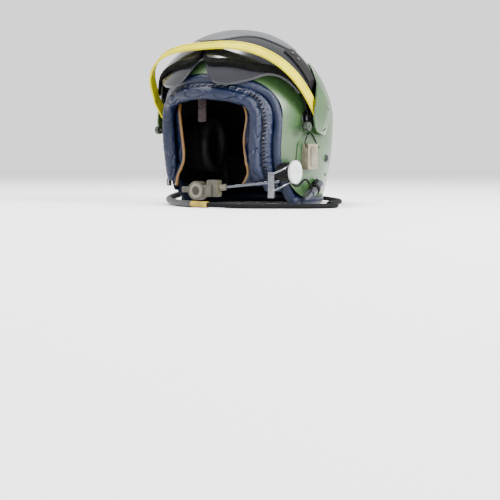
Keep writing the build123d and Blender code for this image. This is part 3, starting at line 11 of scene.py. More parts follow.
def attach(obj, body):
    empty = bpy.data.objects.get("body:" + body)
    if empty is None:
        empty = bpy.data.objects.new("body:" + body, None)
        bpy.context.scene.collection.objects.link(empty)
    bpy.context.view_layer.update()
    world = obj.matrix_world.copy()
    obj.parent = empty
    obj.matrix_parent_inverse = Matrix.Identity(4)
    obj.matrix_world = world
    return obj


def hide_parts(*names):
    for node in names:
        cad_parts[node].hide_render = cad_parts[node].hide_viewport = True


bl_info = {
    "name": "Pilot helmet",
    "version": (1, 0, 0),
    "blender": (4, 5, 0),
    "location": "View3D > Sidebar > Helmet",
    "description": "Dresses a pilot's flight helmet: paint, visors, leather rolls, cords",
    "category": "Object",
}

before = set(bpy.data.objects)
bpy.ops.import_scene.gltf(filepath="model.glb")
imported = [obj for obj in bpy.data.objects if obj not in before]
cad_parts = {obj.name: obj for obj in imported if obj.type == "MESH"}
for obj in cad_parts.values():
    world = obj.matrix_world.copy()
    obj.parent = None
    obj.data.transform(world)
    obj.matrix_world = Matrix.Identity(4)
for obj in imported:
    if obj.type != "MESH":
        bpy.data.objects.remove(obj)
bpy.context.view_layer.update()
MM = 0.001

# The shell's form in millimetres, as the solids have it
SHELL_HALF_WIDTH, SHELL_HALF_LENGTH = 122.0, 148.0
SHELL_WIDEST_Z, SHELL_CROWN, SHELL_RIM_Z, SHELL_RIM_HALF_WIDTH = 127.0, 120.0, 13.0, 108.0
LOWER_RADIUS = (SHELL_WIDEST_Z - SHELL_RIM_Z) / math.sqrt(
    1 - (SHELL_RIM_HALF_WIDTH / SHELL_HALF_WIDTH) ** 2
)

# Route of the communication cord and of the microphone lead, in metres
CORD_START = (-0.1155, 0.020, 0.020)
CORD_ROUTE = (
    (-0.116, -0.008, 0.016), (-0.112, -0.042, 0.012), (-0.102, -0.069, 0.009),
    (-0.082, -0.095, 0.0075), (-0.054, -0.119, 0.0056), (-0.024, -0.139, 0.005),
    (0.010, -0.1515, 0.0049), (0.046, -0.1545, 0.0047), (0.074, -0.148, 0.0036),
    (0.102, -0.1345, 0.0036), (0.134, -0.115, 0.0036), (0.166, -0.094, 0.0036),
    (0.186, -0.058, 0.0036), (0.160, -0.026, 0.0036), (0.131, 0.010, 0.0036),
    (0.124, 0.060, 0.0036), (0.104, 0.106, 0.0036), (0.070, 0.141, 0.0046),
    (0.034, 0.162, 0.0062), (0.008, 0.171, 0.0062),
)
LEAD_ROUTE = (
    (0.107, -0.056, 0.039), (0.1095, -0.053, 0.031), (0.114, -0.045, 0.029),
    (0.117, -0.038, 0.037), (0.1185, -0.031, 0.040), (0.121, -0.024, 0.033),
    (0.122, -0.019, 0.022),
)


# Small geometry helpers


def length_ratio(inset):
    return (SHELL_HALF_LENGTH - inset) / (SHELL_HALF_WIDTH - inset)


def half_width(z, inset):
    rise = SHELL_CROWN - inset if z > SHELL_WIDEST_Z else LOWER_RADIUS
    return (SHELL_HALF_WIDTH - inset) * math.sqrt(max(1 - ((z - SHELL_WIDEST_Z) / rise) ** 2, 0))


def front_y(x, z, inset):
    half = half_width(z, inset)
    return -half * length_ratio(inset) * math.sqrt(max(1 - (x / half) ** 2, 0))


def line_length(points):
    return sum((b - a).length for a, b in zip(points, points[1:]))


def catmull(points, steps):
    """Points on a smooth curve through the given points."""
    pts = [Vector(p) for p in points]
    pts = [2 * pts[0] - pts[1]] + pts + [2 * pts[-1] - pts[-2]]
    out = []
    for a, b, c, d in zip(pts, pts[1:], pts[2:], pts[3:]):
        for i in range(steps):
            t = i / steps
            out.append(
                0.5 * (2 * b + (c - a) * t + (2 * a - 5 * b + 4 * c - d) * t * t
                       + (3 * b - a - 3 * c + d) * t ** 3)
            )
    out.append(pts[-2])
    return out


def resampled(points, spacing):
    """The same line with evenly spaced points."""
    total = line_length(points)
    count = max(int(total / spacing), 4)
    step, want, gone, out = total / count, total / count, 0.0, [points[0]]
    for a, b in zip(points, points[1:]):
        run = (b - a).length
        while run > 0 and want <= gone + run + 1e-9 and len(out) < count:
            out.append(a.lerp(b, (want - gone) / run))
            want += step
        gone += run
    out.append(points[-1])
    return out


def rings(points):
    """A steady frame at each point: place, side and up."""
    before, after = points[:1] + points[:-1], points[1:] + points[-1:]
    tangents = [(b - a).normalized() for a, b in zip(before, after)]
    side = tangents[0].orthogonal().normalized()
    if abs(tangents[0].z) < 0.9:
        side = tangents[0].cross(Vector((0, 0, 1))).normalized()
    out = []
    for p, t in zip(points, tangents):
        side = (side - t * side.dot(t)).normalized()
        out.append((p, side, t.cross(side)))
    return out


def in_scene(obj):
    bpy.context.scene.collection.objects.link(obj)
    return obj


def add_mesh(name, verts, faces, uvs=None):
    mesh = bpy.data.meshes.new(name)
    mesh.from_pydata([tuple(v) for v in verts], [], faces)
    if uvs:
        layer = mesh.uv_layers.new(name="run")
        for loop in mesh.loops:
            layer.data[loop.index].uv = uvs[loop.vertex_index]
    mesh.validate()
    mesh.update()
    for poly in mesh.polygons:
        poly.use_smooth = True
    return in_scene(bpy.data.objects.new(name, mesh))


def tube_shape(points, radius, sides, shape, bore=0.0, floor=None):
    """Points, faces and texture places of a tube; shape(length, angle) scales its radius."""
    frames = rings(points)
    verts, uvs, faces = [], [], []
    gone, last = 0.0, points[0]
    for p, side, up in frames:
        gone += (p - last).length
        last = p
        for k in range(sides):
            angle = 2 * math.pi * k / sides
            out = side * math.cos(angle) + up * math.sin(angle)
            v = p + out * (radius * shape(gone, angle))
            if floor is not None:
                v.z = max(v.z, floor)
            verts.append(v)
            uvs.append((gone, k / sides))
    n = len(frames)
    for i in range(n - 1):
        for k in range(sides):
            a, b = i * sides + k, i * sides + (k + 1) % sides
            faces.append((a, b, b + sides, a + sides))
    if bore:
        base = len(verts)
        for p, side, up in frames:
            for k in range(sides):
                angle = 2 * math.pi * k / sides
                verts.append(p + (side * math.cos(angle) + up * math.sin(angle)) * bore)
                uvs.append((0, k / sides))
        for i in range(n - 1):
            for k in range(sides):
                a, b = base + i * sides + k, base + i * sides + (k + 1) % sides
                faces.append((a, a + sides, b + sides, b))
        for k in range(sides):
            m = (k + 1) % sides
            faces.append((k, base + k, base + m, m))
            e = (n - 1) * sides
            faces.append((e + k, e + m, base + e + m, base + e + k))
    else:
        faces.append(tuple(reversed(range(sides))))
        faces.append(tuple(range((n - 1) * sides, n * sides)))
    return verts, faces, uvs


def tube_mesh(name, *args, **options):
    return add_mesh(name, *tube_shape(*args, **options))


def outward(obj):
    """Point every face out."""
    bm = bmesh.new()
    bm.from_mesh(obj.data)
    bmesh.ops.remove_doubles(bm, verts=bm.verts, dist=1e-6)
    bmesh.ops.recalc_face_normals(bm, faces=bm.faces)
    bm.to_mesh(obj.data)
    bm.free()
    obj.data.update()
    return obj


def evaluated_mesh(obj):
    graph = bpy.context.evaluated_depsgraph_get()
    graph.update()
    return bpy.data.meshes.new_from_object(obj.evaluated_get(graph))


def applied(obj):
    """Turn an object's modifiers into its mesh."""
    mesh = evaluated_mesh(obj)
    obj.modifiers.clear()
    obj.data = mesh
    return obj


# Unevenness of a soft copy: how fine it is, how high it swells, how deep and wide its folds are,
# and how much closer they lie in height
SOFT_RATE, SOFT_SWELL = 110.0, 0.0006
SOFT_FOLD, SOFT_FOLD_WIDTH, SOFT_FOLD_SQUEEZE = 0.0007, 0.09, 2.2


def soft_copy(name, node, voxel, smooth, puff):
    """A node's solid made into a soft, slightly uneven padded form."""
    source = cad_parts[node]
    obj = outward(in_scene(bpy.data.objects.new(name, source.data.copy())))
    mod = obj.modifiers.new("remesh", "REMESH")
    mod.mode, mod.voxel_size, mod.use_smooth_shade = "VOXEL", voxel, True
    mod = obj.modifiers.new("soften", "SMOOTH")
    mod.iterations, mod.factor = smooth, 0.5
    applied(obj)
    normals = [v.normal.copy() for v in obj.data.vertices]
    for v, out in zip(obj.data.vertices, normals):
        squeezed = Vector((v.co.x, v.co.y, v.co.z * SOFT_FOLD_SQUEEZE))
        fold = crease(squeezed * SOFT_RATE, SOFT_FOLD_WIDTH)
        swell = SOFT_SWELL * noise.noise(v.co * SOFT_RATE)
        v.co += out * (puff + swell - SOFT_FOLD * fold)
    obj.data.update()
    for poly in obj.data.polygons:
        poly.use_smooth = True
    return obj


# Shader groups, each with a mask for the colour and a height for the bump


def pattern_group(name, scale, fine):
    tree = bpy.data.node_groups.new(name, "ShaderNodeTree")
    for label, kind, default in (
        ("Vector", "NodeSocketVector", (0, 0, 0)), ("Scale", "NodeSocketFloat", scale),
        ("Fine", "NodeSocketFloat", fine),
    ):
        socket = tree.interface.new_socket(label, in_out="INPUT", socket_type=kind)
        socket.default_value = default
    for label in ("Mask", "Height"):
        tree.interface.new_socket(label, in_out="OUTPUT", socket_type="NodeSocketFloat")
    return tree, tree.nodes.new("NodeGroupInput"), tree.nodes.new("NodeGroupOutput")


def set_or_link(tree, socket, value):
    if isinstance(value, (int, float)):
        socket.default_value = value
    else:
        tree.links.new(value, socket)


def math_node(tree, operation, a, b):
    node = tree.nodes.new("ShaderNodeMath")
    node.operation = operation
    set_or_link(tree, node.inputs[0], a)
    set_or_link(tree, node.inputs[1], b)
    return node.outputs[0]


def texture(tree, kind, vector, scale, detail=None):
    node = tree.nodes.new("ShaderNodeTex" + kind)
    tree.links.new(vector, node.inputs["Vector"])
    set_or_link(tree, node.inputs["Scale"], scale)
    if detail is not None:
        node.inputs["Detail"].default_value = detail
    return node


def make_mottle():
    """Broad and fine unevenness of a painted or moulded surface."""
    tree, entry, leave = pattern_group("surface_mottle", 40.0, 900.0)
    vector, scale, fine = entry.outputs[:3]
    broad = texture(tree, "Noise", vector, scale, 5.0)
    grain = texture(tree, "Noise", vector, fine, 2.0)
    tree.links.new(broad.outputs["Fac"], leave.inputs["Mask"])
    tree.links.new(grain.outputs["Fac"], leave.inputs["Height"])
    return tree


def make_grain():
    """Leather: a cell grain with creases over it, and painted shade that darkens the colour in the
    crease valleys, patchy by a cloud noise.
    """
    tree, entry, leave = pattern_group("leather_grain", 700.0, 60.0)
    vector, scale, fine = entry.outputs[:3]
    cells = texture(tree, "Voronoi", vector, scale)
    cells.feature = "DISTANCE_TO_EDGE"
    creases = texture(tree, "Noise", vector, fine, 4.0)
    creases.noise_type = "RIDGED_MULTIFRACTAL"
    cloud = texture(tree, "Noise", vector, 22.0)
    edge = math_node(tree, "MINIMUM", cells.outputs["Distance"], 0.25)
    valley = math_node(tree, "MULTIPLY", creases.outputs["Fac"], -0.9)
    # Painted shade: the mask is high in the crease valleys, so the colour turns to the darker tone
    # there, in patches from the cloud noise
    patchiness = math_node(tree, "MULTIPLY", cloud.outputs["Fac"], creases.outputs["Fac"])
    tree.links.new(math_node(tree, "ADD", edge, valley), leave.inputs["Height"])
    tree.links.new(patchiness, leave.inputs["Mask"])
    return tree


def make_brushed():
    """Fine scratches of turned or drawn metal."""
    tree, entry, leave = pattern_group("metal_scratches", 300.0, 60.0)
    vector, scale, fine = entry.outputs[:3]
    drawn = tree.nodes.new("ShaderNodeMapping")
    drawn.inputs["Scale"].default_value = (1.0, 0.06, 1.0)
    tree.links.new(vector, drawn.inputs["Vector"])
    scratches = texture(tree, "Noise", drawn.outputs["Vector"], scale)
    broad = texture(tree, "Noise", vector, fine)
    tree.links.new(scratches.outputs["Fac"], leave.inputs["Height"])
    tree.links.new(broad.outputs["Fac"], leave.inputs["Mask"])
    return tree


def make_weave():
    """Fine ribs along and across a mesh."""
    tree, entry, leave = pattern_group("tape_weave", 900.0, 80.0)
    vector, scale, fine = entry.outputs[:3]
    waves = []
    for direction in ("X", "Z"):
        wave = texture(tree, "Wave", vector, scale)
        wave.bands_direction = direction
        waves.append(wave.outputs["Fac"])
    spots = texture(tree, "Noise", vector, fine)
    tree.links.new(math_node(tree, "MAXIMUM", *waves), leave.inputs["Height"])
    tree.links.new(spots.outputs["Fac"], leave.inputs["Mask"])
    return tree


GROUPS = {}


def mapped(tree, value, low, high, to_low=0.0, to_high=1.0):
    node = tree.nodes.new("ShaderNodeMapRange")
    for label, number in (
        ("From Min", low), ("From Max", high), ("To Min", to_low), ("To Max", to_high),
    ):
        node.inputs[label].default_value = number
    tree.links.new(value, node.inputs["Value"])
    return node.outputs["Result"]


def finish(name, base, tone, rough, group="mottle", scale=40.0, fine=900.0, bump=0.1,
           depth=0.0002, rough_span=0.12, metallic=0.0, coat=0.0, transmission=0.0, ior=1.5,
           low=0.35, high=0.65, specular=0.5):
    """A material whose colour runs from base to tone, with its surface in a bump."""
    mat = bpy.data.materials.new(name)
    mat.use_nodes = True
    tree = mat.node_tree
    shader = tree.nodes["Principled BSDF"]
    place = tree.nodes.new("ShaderNodeTexCoord")
    pattern = tree.nodes.new("ShaderNodeGroup")
    pattern.node_tree = GROUPS[group]
    pattern.inputs["Scale"].default_value = scale
    pattern.inputs["Fine"].default_value = fine
    tree.links.new(place.outputs["Object"], pattern.inputs["Vector"])
    mix = tree.nodes.new("ShaderNodeMix")
    mix.data_type = "RGBA"
    mix.inputs["A"].default_value = (*base, 1)
    mix.inputs["B"].default_value = (*tone, 1)
    mask = pattern.outputs["Mask"]
    tree.links.new(mapped(tree, mask, low, high), mix.inputs["Factor"])
    tree.links.new(mix.outputs["Result"], shader.inputs["Base Color"])
    smoothest, roughest = max(rough - rough_span / 2, 0.02), min(rough + rough_span / 2, 1.0)
    patchiness = mapped(tree, mask, low, high, smoothest, roughest)
    tree.links.new(patchiness, shader.inputs["Roughness"])
    lift = tree.nodes.new("ShaderNodeBump")
    lift.inputs["Strength"].default_value = bump
    lift.inputs["Distance"].default_value = depth
    tree.links.new(pattern.outputs["Height"], lift.inputs["Height"])
    tree.links.new(lift.outputs["Normal"], shader.inputs["Normal"])
    for label, value in (
        ("Metallic", metallic), ("Coat Weight", coat), ("Transmission Weight", transmission),
        ("IOR", ior), ("Specular IOR Level", specular),
    ):
        shader.inputs[label].default_value = value
    return mat


def srgb(*values):
    """A linear colour from eight-bit values."""
    return tuple(
        ((v / 255 + 0.055) / 1.055) ** 2.4 if v > 10 else v / 255 / 12.92 for v in values
    )


MATERIALS = {}


def paint(obj, name):
    obj.data.materials.clear()
    obj.data.materials.append(MATERIALS[name])
    return obj


def keep(obj, material, node):
    """Give a made piece its material, hang it on the helmet and hide the node that it stands for.
    """
    paint(obj, material)
    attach(obj, "helmet")
    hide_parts(node)
    return obj


# Sizes and colours that a user may change


class HelmetLooks(bpy.types.PropertyGroup):
    shell_colour: FloatVectorProperty(
        name="Shell colour", description="Paint of the shell and the side pods",
        default=srgb(49, 76, 41), size=3, subtype="COLOR", min=0, max=1,
    )
    leather_colour: FloatVectorProperty(
        name="Leather colour", description="Blue leather of the rolls and flaps",
        default=srgb(4, 16, 42), size=3, subtype="COLOR", min=0, max=1,
    )
    hoop_colour: FloatVectorProperty(
        name="Hoop colour", description="Paint of the visor guard hoop",
        default=srgb(200, 190, 0), size=3, subtype="COLOR", min=0, max=1,
    )
    lens_colour: FloatVectorProperty(
        name="Lens colour", description="Tint of both visors",
        default=srgb(28, 29, 33), size=3, subtype="COLOR", min=0, max=1,
    )
    outer_roll_radius: FloatProperty(
        name="Outer roll radius", description="Radius of the face roll at the shell's edge",
        default=0.0078, unit="LENGTH",
    )
    inner_roll_radius: FloatProperty(
        name="Inner roll radius", description="Radius of the soft roll at the face",
        default=0.0091, unit="LENGTH",
    )
    nape_roll_radius: FloatProperty(
        name="Nape roll radius", description="Radius of the roll under the rim",
        default=0.0086, unit="LENGTH",
    )
    stitch_pitch: FloatProperty(
        name="Stitch pitch", description="Distance from one lacing stitch to the next",
        default=0.0052, unit="LENGTH",
    )
    roll_sides: IntProperty(
        name="Roll sides", description="Faces round each roll", default=40, min=8,
    )


def looks():
    return bpy.context.scene.helmet_looks


def dim(colour, share):
    return tuple(c * share for c in colour)


def material_rows(look):
    """Every material's settings; four colours are those of the panel."""
    green, blue = tuple(look.shell_colour), tuple(look.leather_colour)
    yellow, lens = tuple(look.hoop_colour), tuple(look.lens_colour)
    painted = dict(rough=0.36, coat=0.2)
    visor = dict(rough=0.2, scale=14.0, bump=0.01, rough_span=0.06, ior=1.42, specular=0.4)
    black = dict(base=srgb(8, 8, 8), tone=srgb(5, 5, 5), rough=0.6, specular=0.25)
    metal = dict(group="brushed", metallic=1.0)
    # Every leather row's tone is painted shade, which the grain's mask lays in the crease valleys
    leather = dict(group="grain", bump=0.5, low=0.15, high=0.6)
    return {
        "shell_paint": dict(painted, base=green, tone=dim(green, 0.8), scale=9.0, bump=0.06),
        "pod_paint": dict(
            painted, base=dim(green, 0.95), tone=dim(green, 0.75), scale=30.0, bump=0.08,
        ),
        "knob_green": dict(
            base=srgb(44, 54, 40), tone=srgb(28, 34, 26), rough=0.45, scale=200.0,
        ),
        "hoop_yellow": dict(
            base=yellow, tone=dim(yellow, 0.8), rough=0.5, scale=45.0, bump=0.08, specular=0.06,
        ),
        "lens_smoke": dict(visor, base=lens, tone=dim(lens, 0.85), transmission=0.35),
        "lens_inner": dict(visor, base=dim(lens, 1.6), tone=dim(lens, 1.3), transmission=0.2),
        "frame_grey": dict(
            base=srgb(70, 72, 76), tone=srgb(52, 54, 58), rough=0.4, scale=20.0, bump=0.04,
        ),
        "trim_rubber": dict(
            base=srgb(13, 14, 11), tone=srgb(8, 8, 7), rough=0.9, scale=120.0, bump=0.2,
            specular=0.05,
        ),
        "arm_black": dict(black, scale=90.0, bump=0.1),
        "base_black": dict(black, scale=140.0, bump=0.15),
        "screw_steel": dict(
            metal, base=srgb(150, 151, 155), tone=srgb(90, 92, 98), rough=0.3, scale=700.0,
            bump=0.1,
        ),
        "rod_steel": dict(
            metal, base=srgb(116, 118, 126), tone=srgb(80, 83, 92), rough=0.28, scale=500.0,
            bump=0.08,
        ),
        "chrome_wire": dict(
            metal, base=srgb(128, 130, 136), tone=srgb(86, 88, 94), rough=0.2, scale=300.0,
            bump=0.04,
        ),
        "pin_brass": dict(
            metal, base=srgb(160, 124, 60), tone=srgb(110, 82, 38), rough=0.25, scale=500.0,
            bump=0.05,
        ),
        "collar_metal": dict(
            base=srgb(120, 115, 100), tone=srgb(84, 80, 68), rough=0.35, group="brushed",
            scale=500.0, metallic=0.7, bump=0.1,
        ),
        "mic_grille": dict(
            base=srgb(66, 62, 50), tone=srgb(20, 19, 16), rough=0.5, group="weave", scale=420.0,
            metallic=0.4, bump=0.9, depth=0.0004,
        ),
        "receiver_paint": dict(
            base=srgb(120, 114, 92), tone=srgb(80, 76, 60), rough=0.42, scale=60.0, bump=0.12,
        ),
        "knob_white": dict(
            base=srgb(206, 208, 210), tone=srgb(168, 170, 172), rough=0.4, scale=70.0, bump=0.05,
        ),
        "mic_paint": dict(
            base=srgb(66, 62, 46), tone=srgb(44, 41, 30), rough=0.48, scale=110.0, bump=0.15,
        ),
        "cord_black": dict(
            base=srgb(9, 10, 11), tone=srgb(6, 6, 7), rough=0.7, scale=160.0, bump=0.12,
            specular=0.12,
        ),
        "sleeve_grey": dict(
            base=srgb(40, 40, 43), tone=srgb(24, 24, 26), rough=0.55, scale=90.0, bump=0.2,
        ),
        "sleeve_yellow": dict(
            base=srgb(160, 134, 14), tone=srgb(116, 94, 8), rough=0.5, scale=90.0, bump=0.2,
        ),
        "plug_black": dict(base=srgb(14, 14, 14), tone=srgb(9, 9, 9), rough=0.4, scale=140.0),
        "cup_black": dict(
            base=srgb(14, 14, 14), tone=srgb(10, 10, 10), rough=0.6, scale=100.0, specular=0.2,
        ),
        "foam_dark": dict(
            base=srgb(18, 17, 16), tone=srgb(11, 11, 11), rough=0.9, scale=500.0, bump=0.5,
            fine=2400.0, specular=0.1,
        ),
        "roll_leather": dict(
            leather, base=blue, tone=dim(blue, 0.55), rough=0.38, scale=1100.0, fine=48.0,
            bump=0.6, depth=0.0007, specular=0.3,
        ),
        "pad_leather": dict(
            leather, base=srgb(18, 17, 18), tone=srgb(11, 10, 11), rough=0.6, scale=1000.0,
            fine=40.0, depth=0.0005, specular=0.2,
        ),
        "binding_tan": dict(
            leather, base=srgb(104, 74, 30), tone=srgb(66, 46, 20), rough=0.55, scale=1300.0,
            fine=120.0, depth=0.0004,
        ),
        "tab_brown": dict(
            leather, base=srgb(26, 12, 10), tone=srgb(15, 8, 7), rough=0.55, scale=900.0,
            fine=60.0, depth=0.0005, specular=0.25,
        ),
        # Painted highlight: the brow's thread is the same dark cord as the side lacing, coloured
        # light grey where light falls on it
        "thread_painted_highlight": dict(
            base=srgb(110, 112, 116), tone=srgb(76, 78, 82), rough=0.7, scale=600.0, bump=0.4,
        ),
        "lace_dark": dict(
            base=srgb(5, 6, 10), tone=srgb(3, 3, 6), rough=0.6, scale=600.0, bump=0.3,
            specular=0.1,
        ),
    }


class HELMET_OT_finishes(bpy.types.Operator):
    """Make every material of the helmet"""

    bl_idname = "helmet.finishes"
    bl_label = "Finishes"

    def execute(self, context):
        GROUPS.update(
            mottle=make_mottle(), grain=make_grain(), brushed=make_brushed(), weave=make_weave(),
        )
        for name, row in material_rows(looks()).items():
            MATERIALS[name] = finish(name, **row)
        return {"FINISHED"}


NODE_FINISH = {
    "outer_shell": "shell_paint", "energy_liner": "foam_dark", "ear_cups": "cup_black",
    "earphones": "cup_black", "outer_visor_lens": "lens_smoke", "outer_visor_trim": "trim_rubber",
    "outer_visor_frame": "frame_grey", "outer_visor_arm_left": "arm_black",
    "outer_visor_arm_right": "arm_black", "outer_visor_knob": "knob_green",
    "visor_arm_screws": "screw_steel", "inner_visor_lens": "lens_inner",
    "inner_visor_arms": "arm_black",
    "inner_visor_knob": "knob_green", "visor_guard_hoop": "hoop_yellow",
    "pivot_posts": "screw_steel", "pivot_washers": "screw_steel", "side_pods": "pod_paint",
    "receiver_plates": "pod_paint", "mask_receiver_left": "receiver_paint",
    "mask_receiver_right": "receiver_paint", "receiver_button_left": "receiver_paint",
    "receiver_button_right": "receiver_paint", "receiver_bail_left": "arm_black",
    "receiver_bail_right": "arm_black", "rear_studs": "screw_steel", "shell_rivets": "pod_paint",
    "boom_base": "base_black", "boom_knob": "knob_white", "boom_hub": "arm_black",
    "boom_fork_wires": "chrome_wire", "boom_clamp": "chrome_wire",
    "boom_clamp_screws": "screw_steel", "boom_rod": "rod_steel", "mic_housing": "mic_paint",
    "mic_collar": "collar_metal", "mic_ring": "collar_metal", "mic_mesh": "mic_grille",
    "connector_body": "rod_steel", "connector_ring": "base_black",
    "connector_saddle": "base_black", "snap_tab": "base_black", "snap_studs": "chrome_wire",
    "cord_gland": "plug_black", "plug_body": "plug_black", "plug_pin": "pin_brass",
}


class HELMET_OT_hard_parts(bpy.types.Operator):
    """Paint the shell, the visors, the pods and the metal parts"""

    bl_idname = "helmet.hard_parts"
    bl_label = "Hard parts"

    def execute(self, context):
        for node, material in NODE_FINISH.items():
            paint(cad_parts[node], material)
        return {"FINISHED"}


# The face window's outline in the front view, in millimetres: the side from the foot up, then
# each further point with the shares of an edge's distance by which the point moves in and down
WINDOW_SIDE = ((107, 13), (103.2, 40), (102, 62), (103.4, 95), (105, 124))
WINDOW_BROW = (
    (94, 162, 0.8, 0.6), (64, 181, 0.35, 0.95), (34, 187.6, 0.15, 1), (0, 189, 0, 1),
)


def window_path(edge, inset, foot_z):
    """The window's outline moved in by edge, laid inset below the skin, above foot_z metres."""
    half = [(x - edge, z) for x, z in WINDOW_SIDE]
    half += [(x - edge * inward, z - edge * down) for x, z, inward, down in WINDOW_BROW]
    whole = half + [(-x, z) for x, z in reversed(half[:-1])]
    points = [Vector((x, front_y(x, z, inset), z)) * MM for x, z in whole]
    return [p for p in points if p.z > foot_z]


def crease(place, width):
    """A narrow valley where the noise crosses zero: one at the bottom, zero away from it."""
    return math.exp(-((noise.noise(place) / width) ** 2))


def wrinkled(amount, rate, seed, depth=0.0):
    """Swells and narrow creases across a roll, that come and go along it."""
    def shape(length, angle):
        c, s = math.cos(angle), math.sin(angle)
        swell = noise.noise(Vector((length * rate, c * 0.7 + seed, s * 0.7)))
        fold = crease(Vector((length * rate * 1.6 + c * 0.5, c * 0.9 + seed * 2, s * 0.9)), 0.07)
        reach = 0.5 + 0.5 * noise.noise(Vector((length * rate * 0.5, seed, c)))
        return 1 + amount * swell - depth * fold * reach
    return shape


# The rolls: how far in from the window's edge and the skin, in millimetres, and how low they reach
# and how far apart their rings are, in metres
OUTER_ROLL_EDGE, OUTER_ROLL_INSET, OUTER_ROLL_FOOT_Z, OUTER_ROLL_STEP = 8.0, 8.0, 0.035, 0.0014
INNER_ROLL_EDGE, INNER_ROLL_INSET, INNER_ROLL_FOOT_Z, INNER_ROLL_STEP = 28.0, 9.0, 0.021, 0.0011
NAPE_ROLL_INSET, NAPE_ROLL_Z, NAPE_ROLL_FRONT_Y, NAPE_ROLL_STEPS = 9.0, 0.008, -0.020, 120
TABLE_CLEAR = 0.0002
CURVE_STEPS = 8


class HELMET_OT_rolls(bpy.types.Operator):
    """Make the leather rolls round the face opening and under the rim"""

    bl_idname = "helmet.rolls"
    bl_label = "Leather rolls"

    def execute(self, context):
        look = looks()
        half = half_width(SHELL_RIM_Z, NAPE_ROLL_INSET) * MM
        length = half * length_ratio(NAPE_ROLL_INSET)
        line = window_path(OUTER_ROLL_EDGE, OUTER_ROLL_INSET, OUTER_ROLL_FOOT_Z)
        join_x = half * math.sqrt(1 - (NAPE_ROLL_FRONT_Y / length) ** 2)
        foot = [
            Vector((join_x, NAPE_ROLL_FRONT_Y, NAPE_ROLL_Z)),
            Vector((join_x * 0.995, NAPE_ROLL_FRONT_Y * 1.6, NAPE_ROLL_Z)),
            Vector((
                join_x * 0.96, (NAPE_ROLL_FRONT_Y * 2 + line[0].y) / 3, NAPE_ROLL_Z * 1.35,
            )),
        ]
        back = [Vector((-p.x, p.y, p.z)) for p in reversed(foot)]
        path = resampled(catmull(foot + line + back, CURVE_STEPS), OUTER_ROLL_STEP)
        outer = tube_mesh("leather_roll_outer", path, look.outer_roll_radius, look.roll_sides,
                          wrinkled(0.05, 45, 3.1, 0.10), floor=TABLE_CLEAR)
        keep(outward(outer), "roll_leather", "face_roll_outer")

        line = window_path(INNER_ROLL_EDGE, INNER_ROLL_INSET, INNER_ROLL_FOOT_Z)
        path = resampled(catmull(line, CURVE_STEPS), INNER_ROLL_STEP)
        inner = tube_mesh("leather_roll_inner", path, look.inner_roll_radius, look.roll_sides,
                          wrinkled(0.14, 40, 7.7, 0.40))
        keep(outward(inner), "roll_leather", "face_roll_inner")

        start = math.asin(NAPE_ROLL_FRONT_Y / length)
        points = []
        for i in range(NAPE_ROLL_STEPS + 1):
            angle = start + (math.pi - 2 * start) * i / NAPE_ROLL_STEPS
            points.append(
                Vector((half * math.cos(angle), length * math.sin(angle), NAPE_ROLL_Z))
            )
        nape = tube_mesh("leather_roll_nape", points, look.nape_roll_radius, look.roll_sides,
                         wrinkled(0.03, 40, 1.3, 0.04), floor=0.0)
        keep(outward(nape), "roll_leather", "nape_roll")
        return {"FINISHED"}


# Levels of each ear flap: height, how far its edge stands out and back, in millimetres. The soft
# panels hang differently at the wearer's left (1) and right (-1).
FLAP_LEVELS = {
    1: (
        (30, -7.0, 4.0), (48, 2.0, 5.0), (66, 4.0, -3.0), (96, -2.5, 2.0), (128, 1.5, 3.0),
        (150, -9.0, 8.0),
    ),
    -1: (
        (30, 6.0, 6.0), (44, 2.0, 4.0), (70, -9.0, 4.0), (112, -6.0, 3.0), (140, -2.0, 4.0),
        (150, -1.0, 8.0),
    ),
}
FLAP_ROOT, FLAP_BEND, FLAP_EDGE = (80.0, -82.0), (69.0, -94.0), (60.0, -103.0)
FLAP_ROWS, FLAP_COLUMNS, FLAP_THICK = 130, 26, 0.0042
FLAP_SWELL, FLAP_FOLD, FLAP_FOLD_WIDTH, FLAP_HELD_COLUMNS = 0.0022, 0.0016, 0.10, 4
BINDING_RADIUS, BINDING_STEP = 0.0021, 0.002


def flap_line(level, s):
    """A point of an ear flap on the left side; s runs from the root to the edge."""
    z, out, back = level
    root = Vector((FLAP_ROOT[0], FLAP_ROOT[1] + back, z))
    bend = Vector((FLAP_BEND[0] + out / 2, FLAP_BEND[1] + back, z))
    edge = Vector((FLAP_EDGE[0] + out, FLAP_EDGE[1] + back, z))
    return (root * (1 - s) * (1 - 2 * s) + bend * 4 * s * (1 - s) + edge * s * (2 * s - 1)) * MM


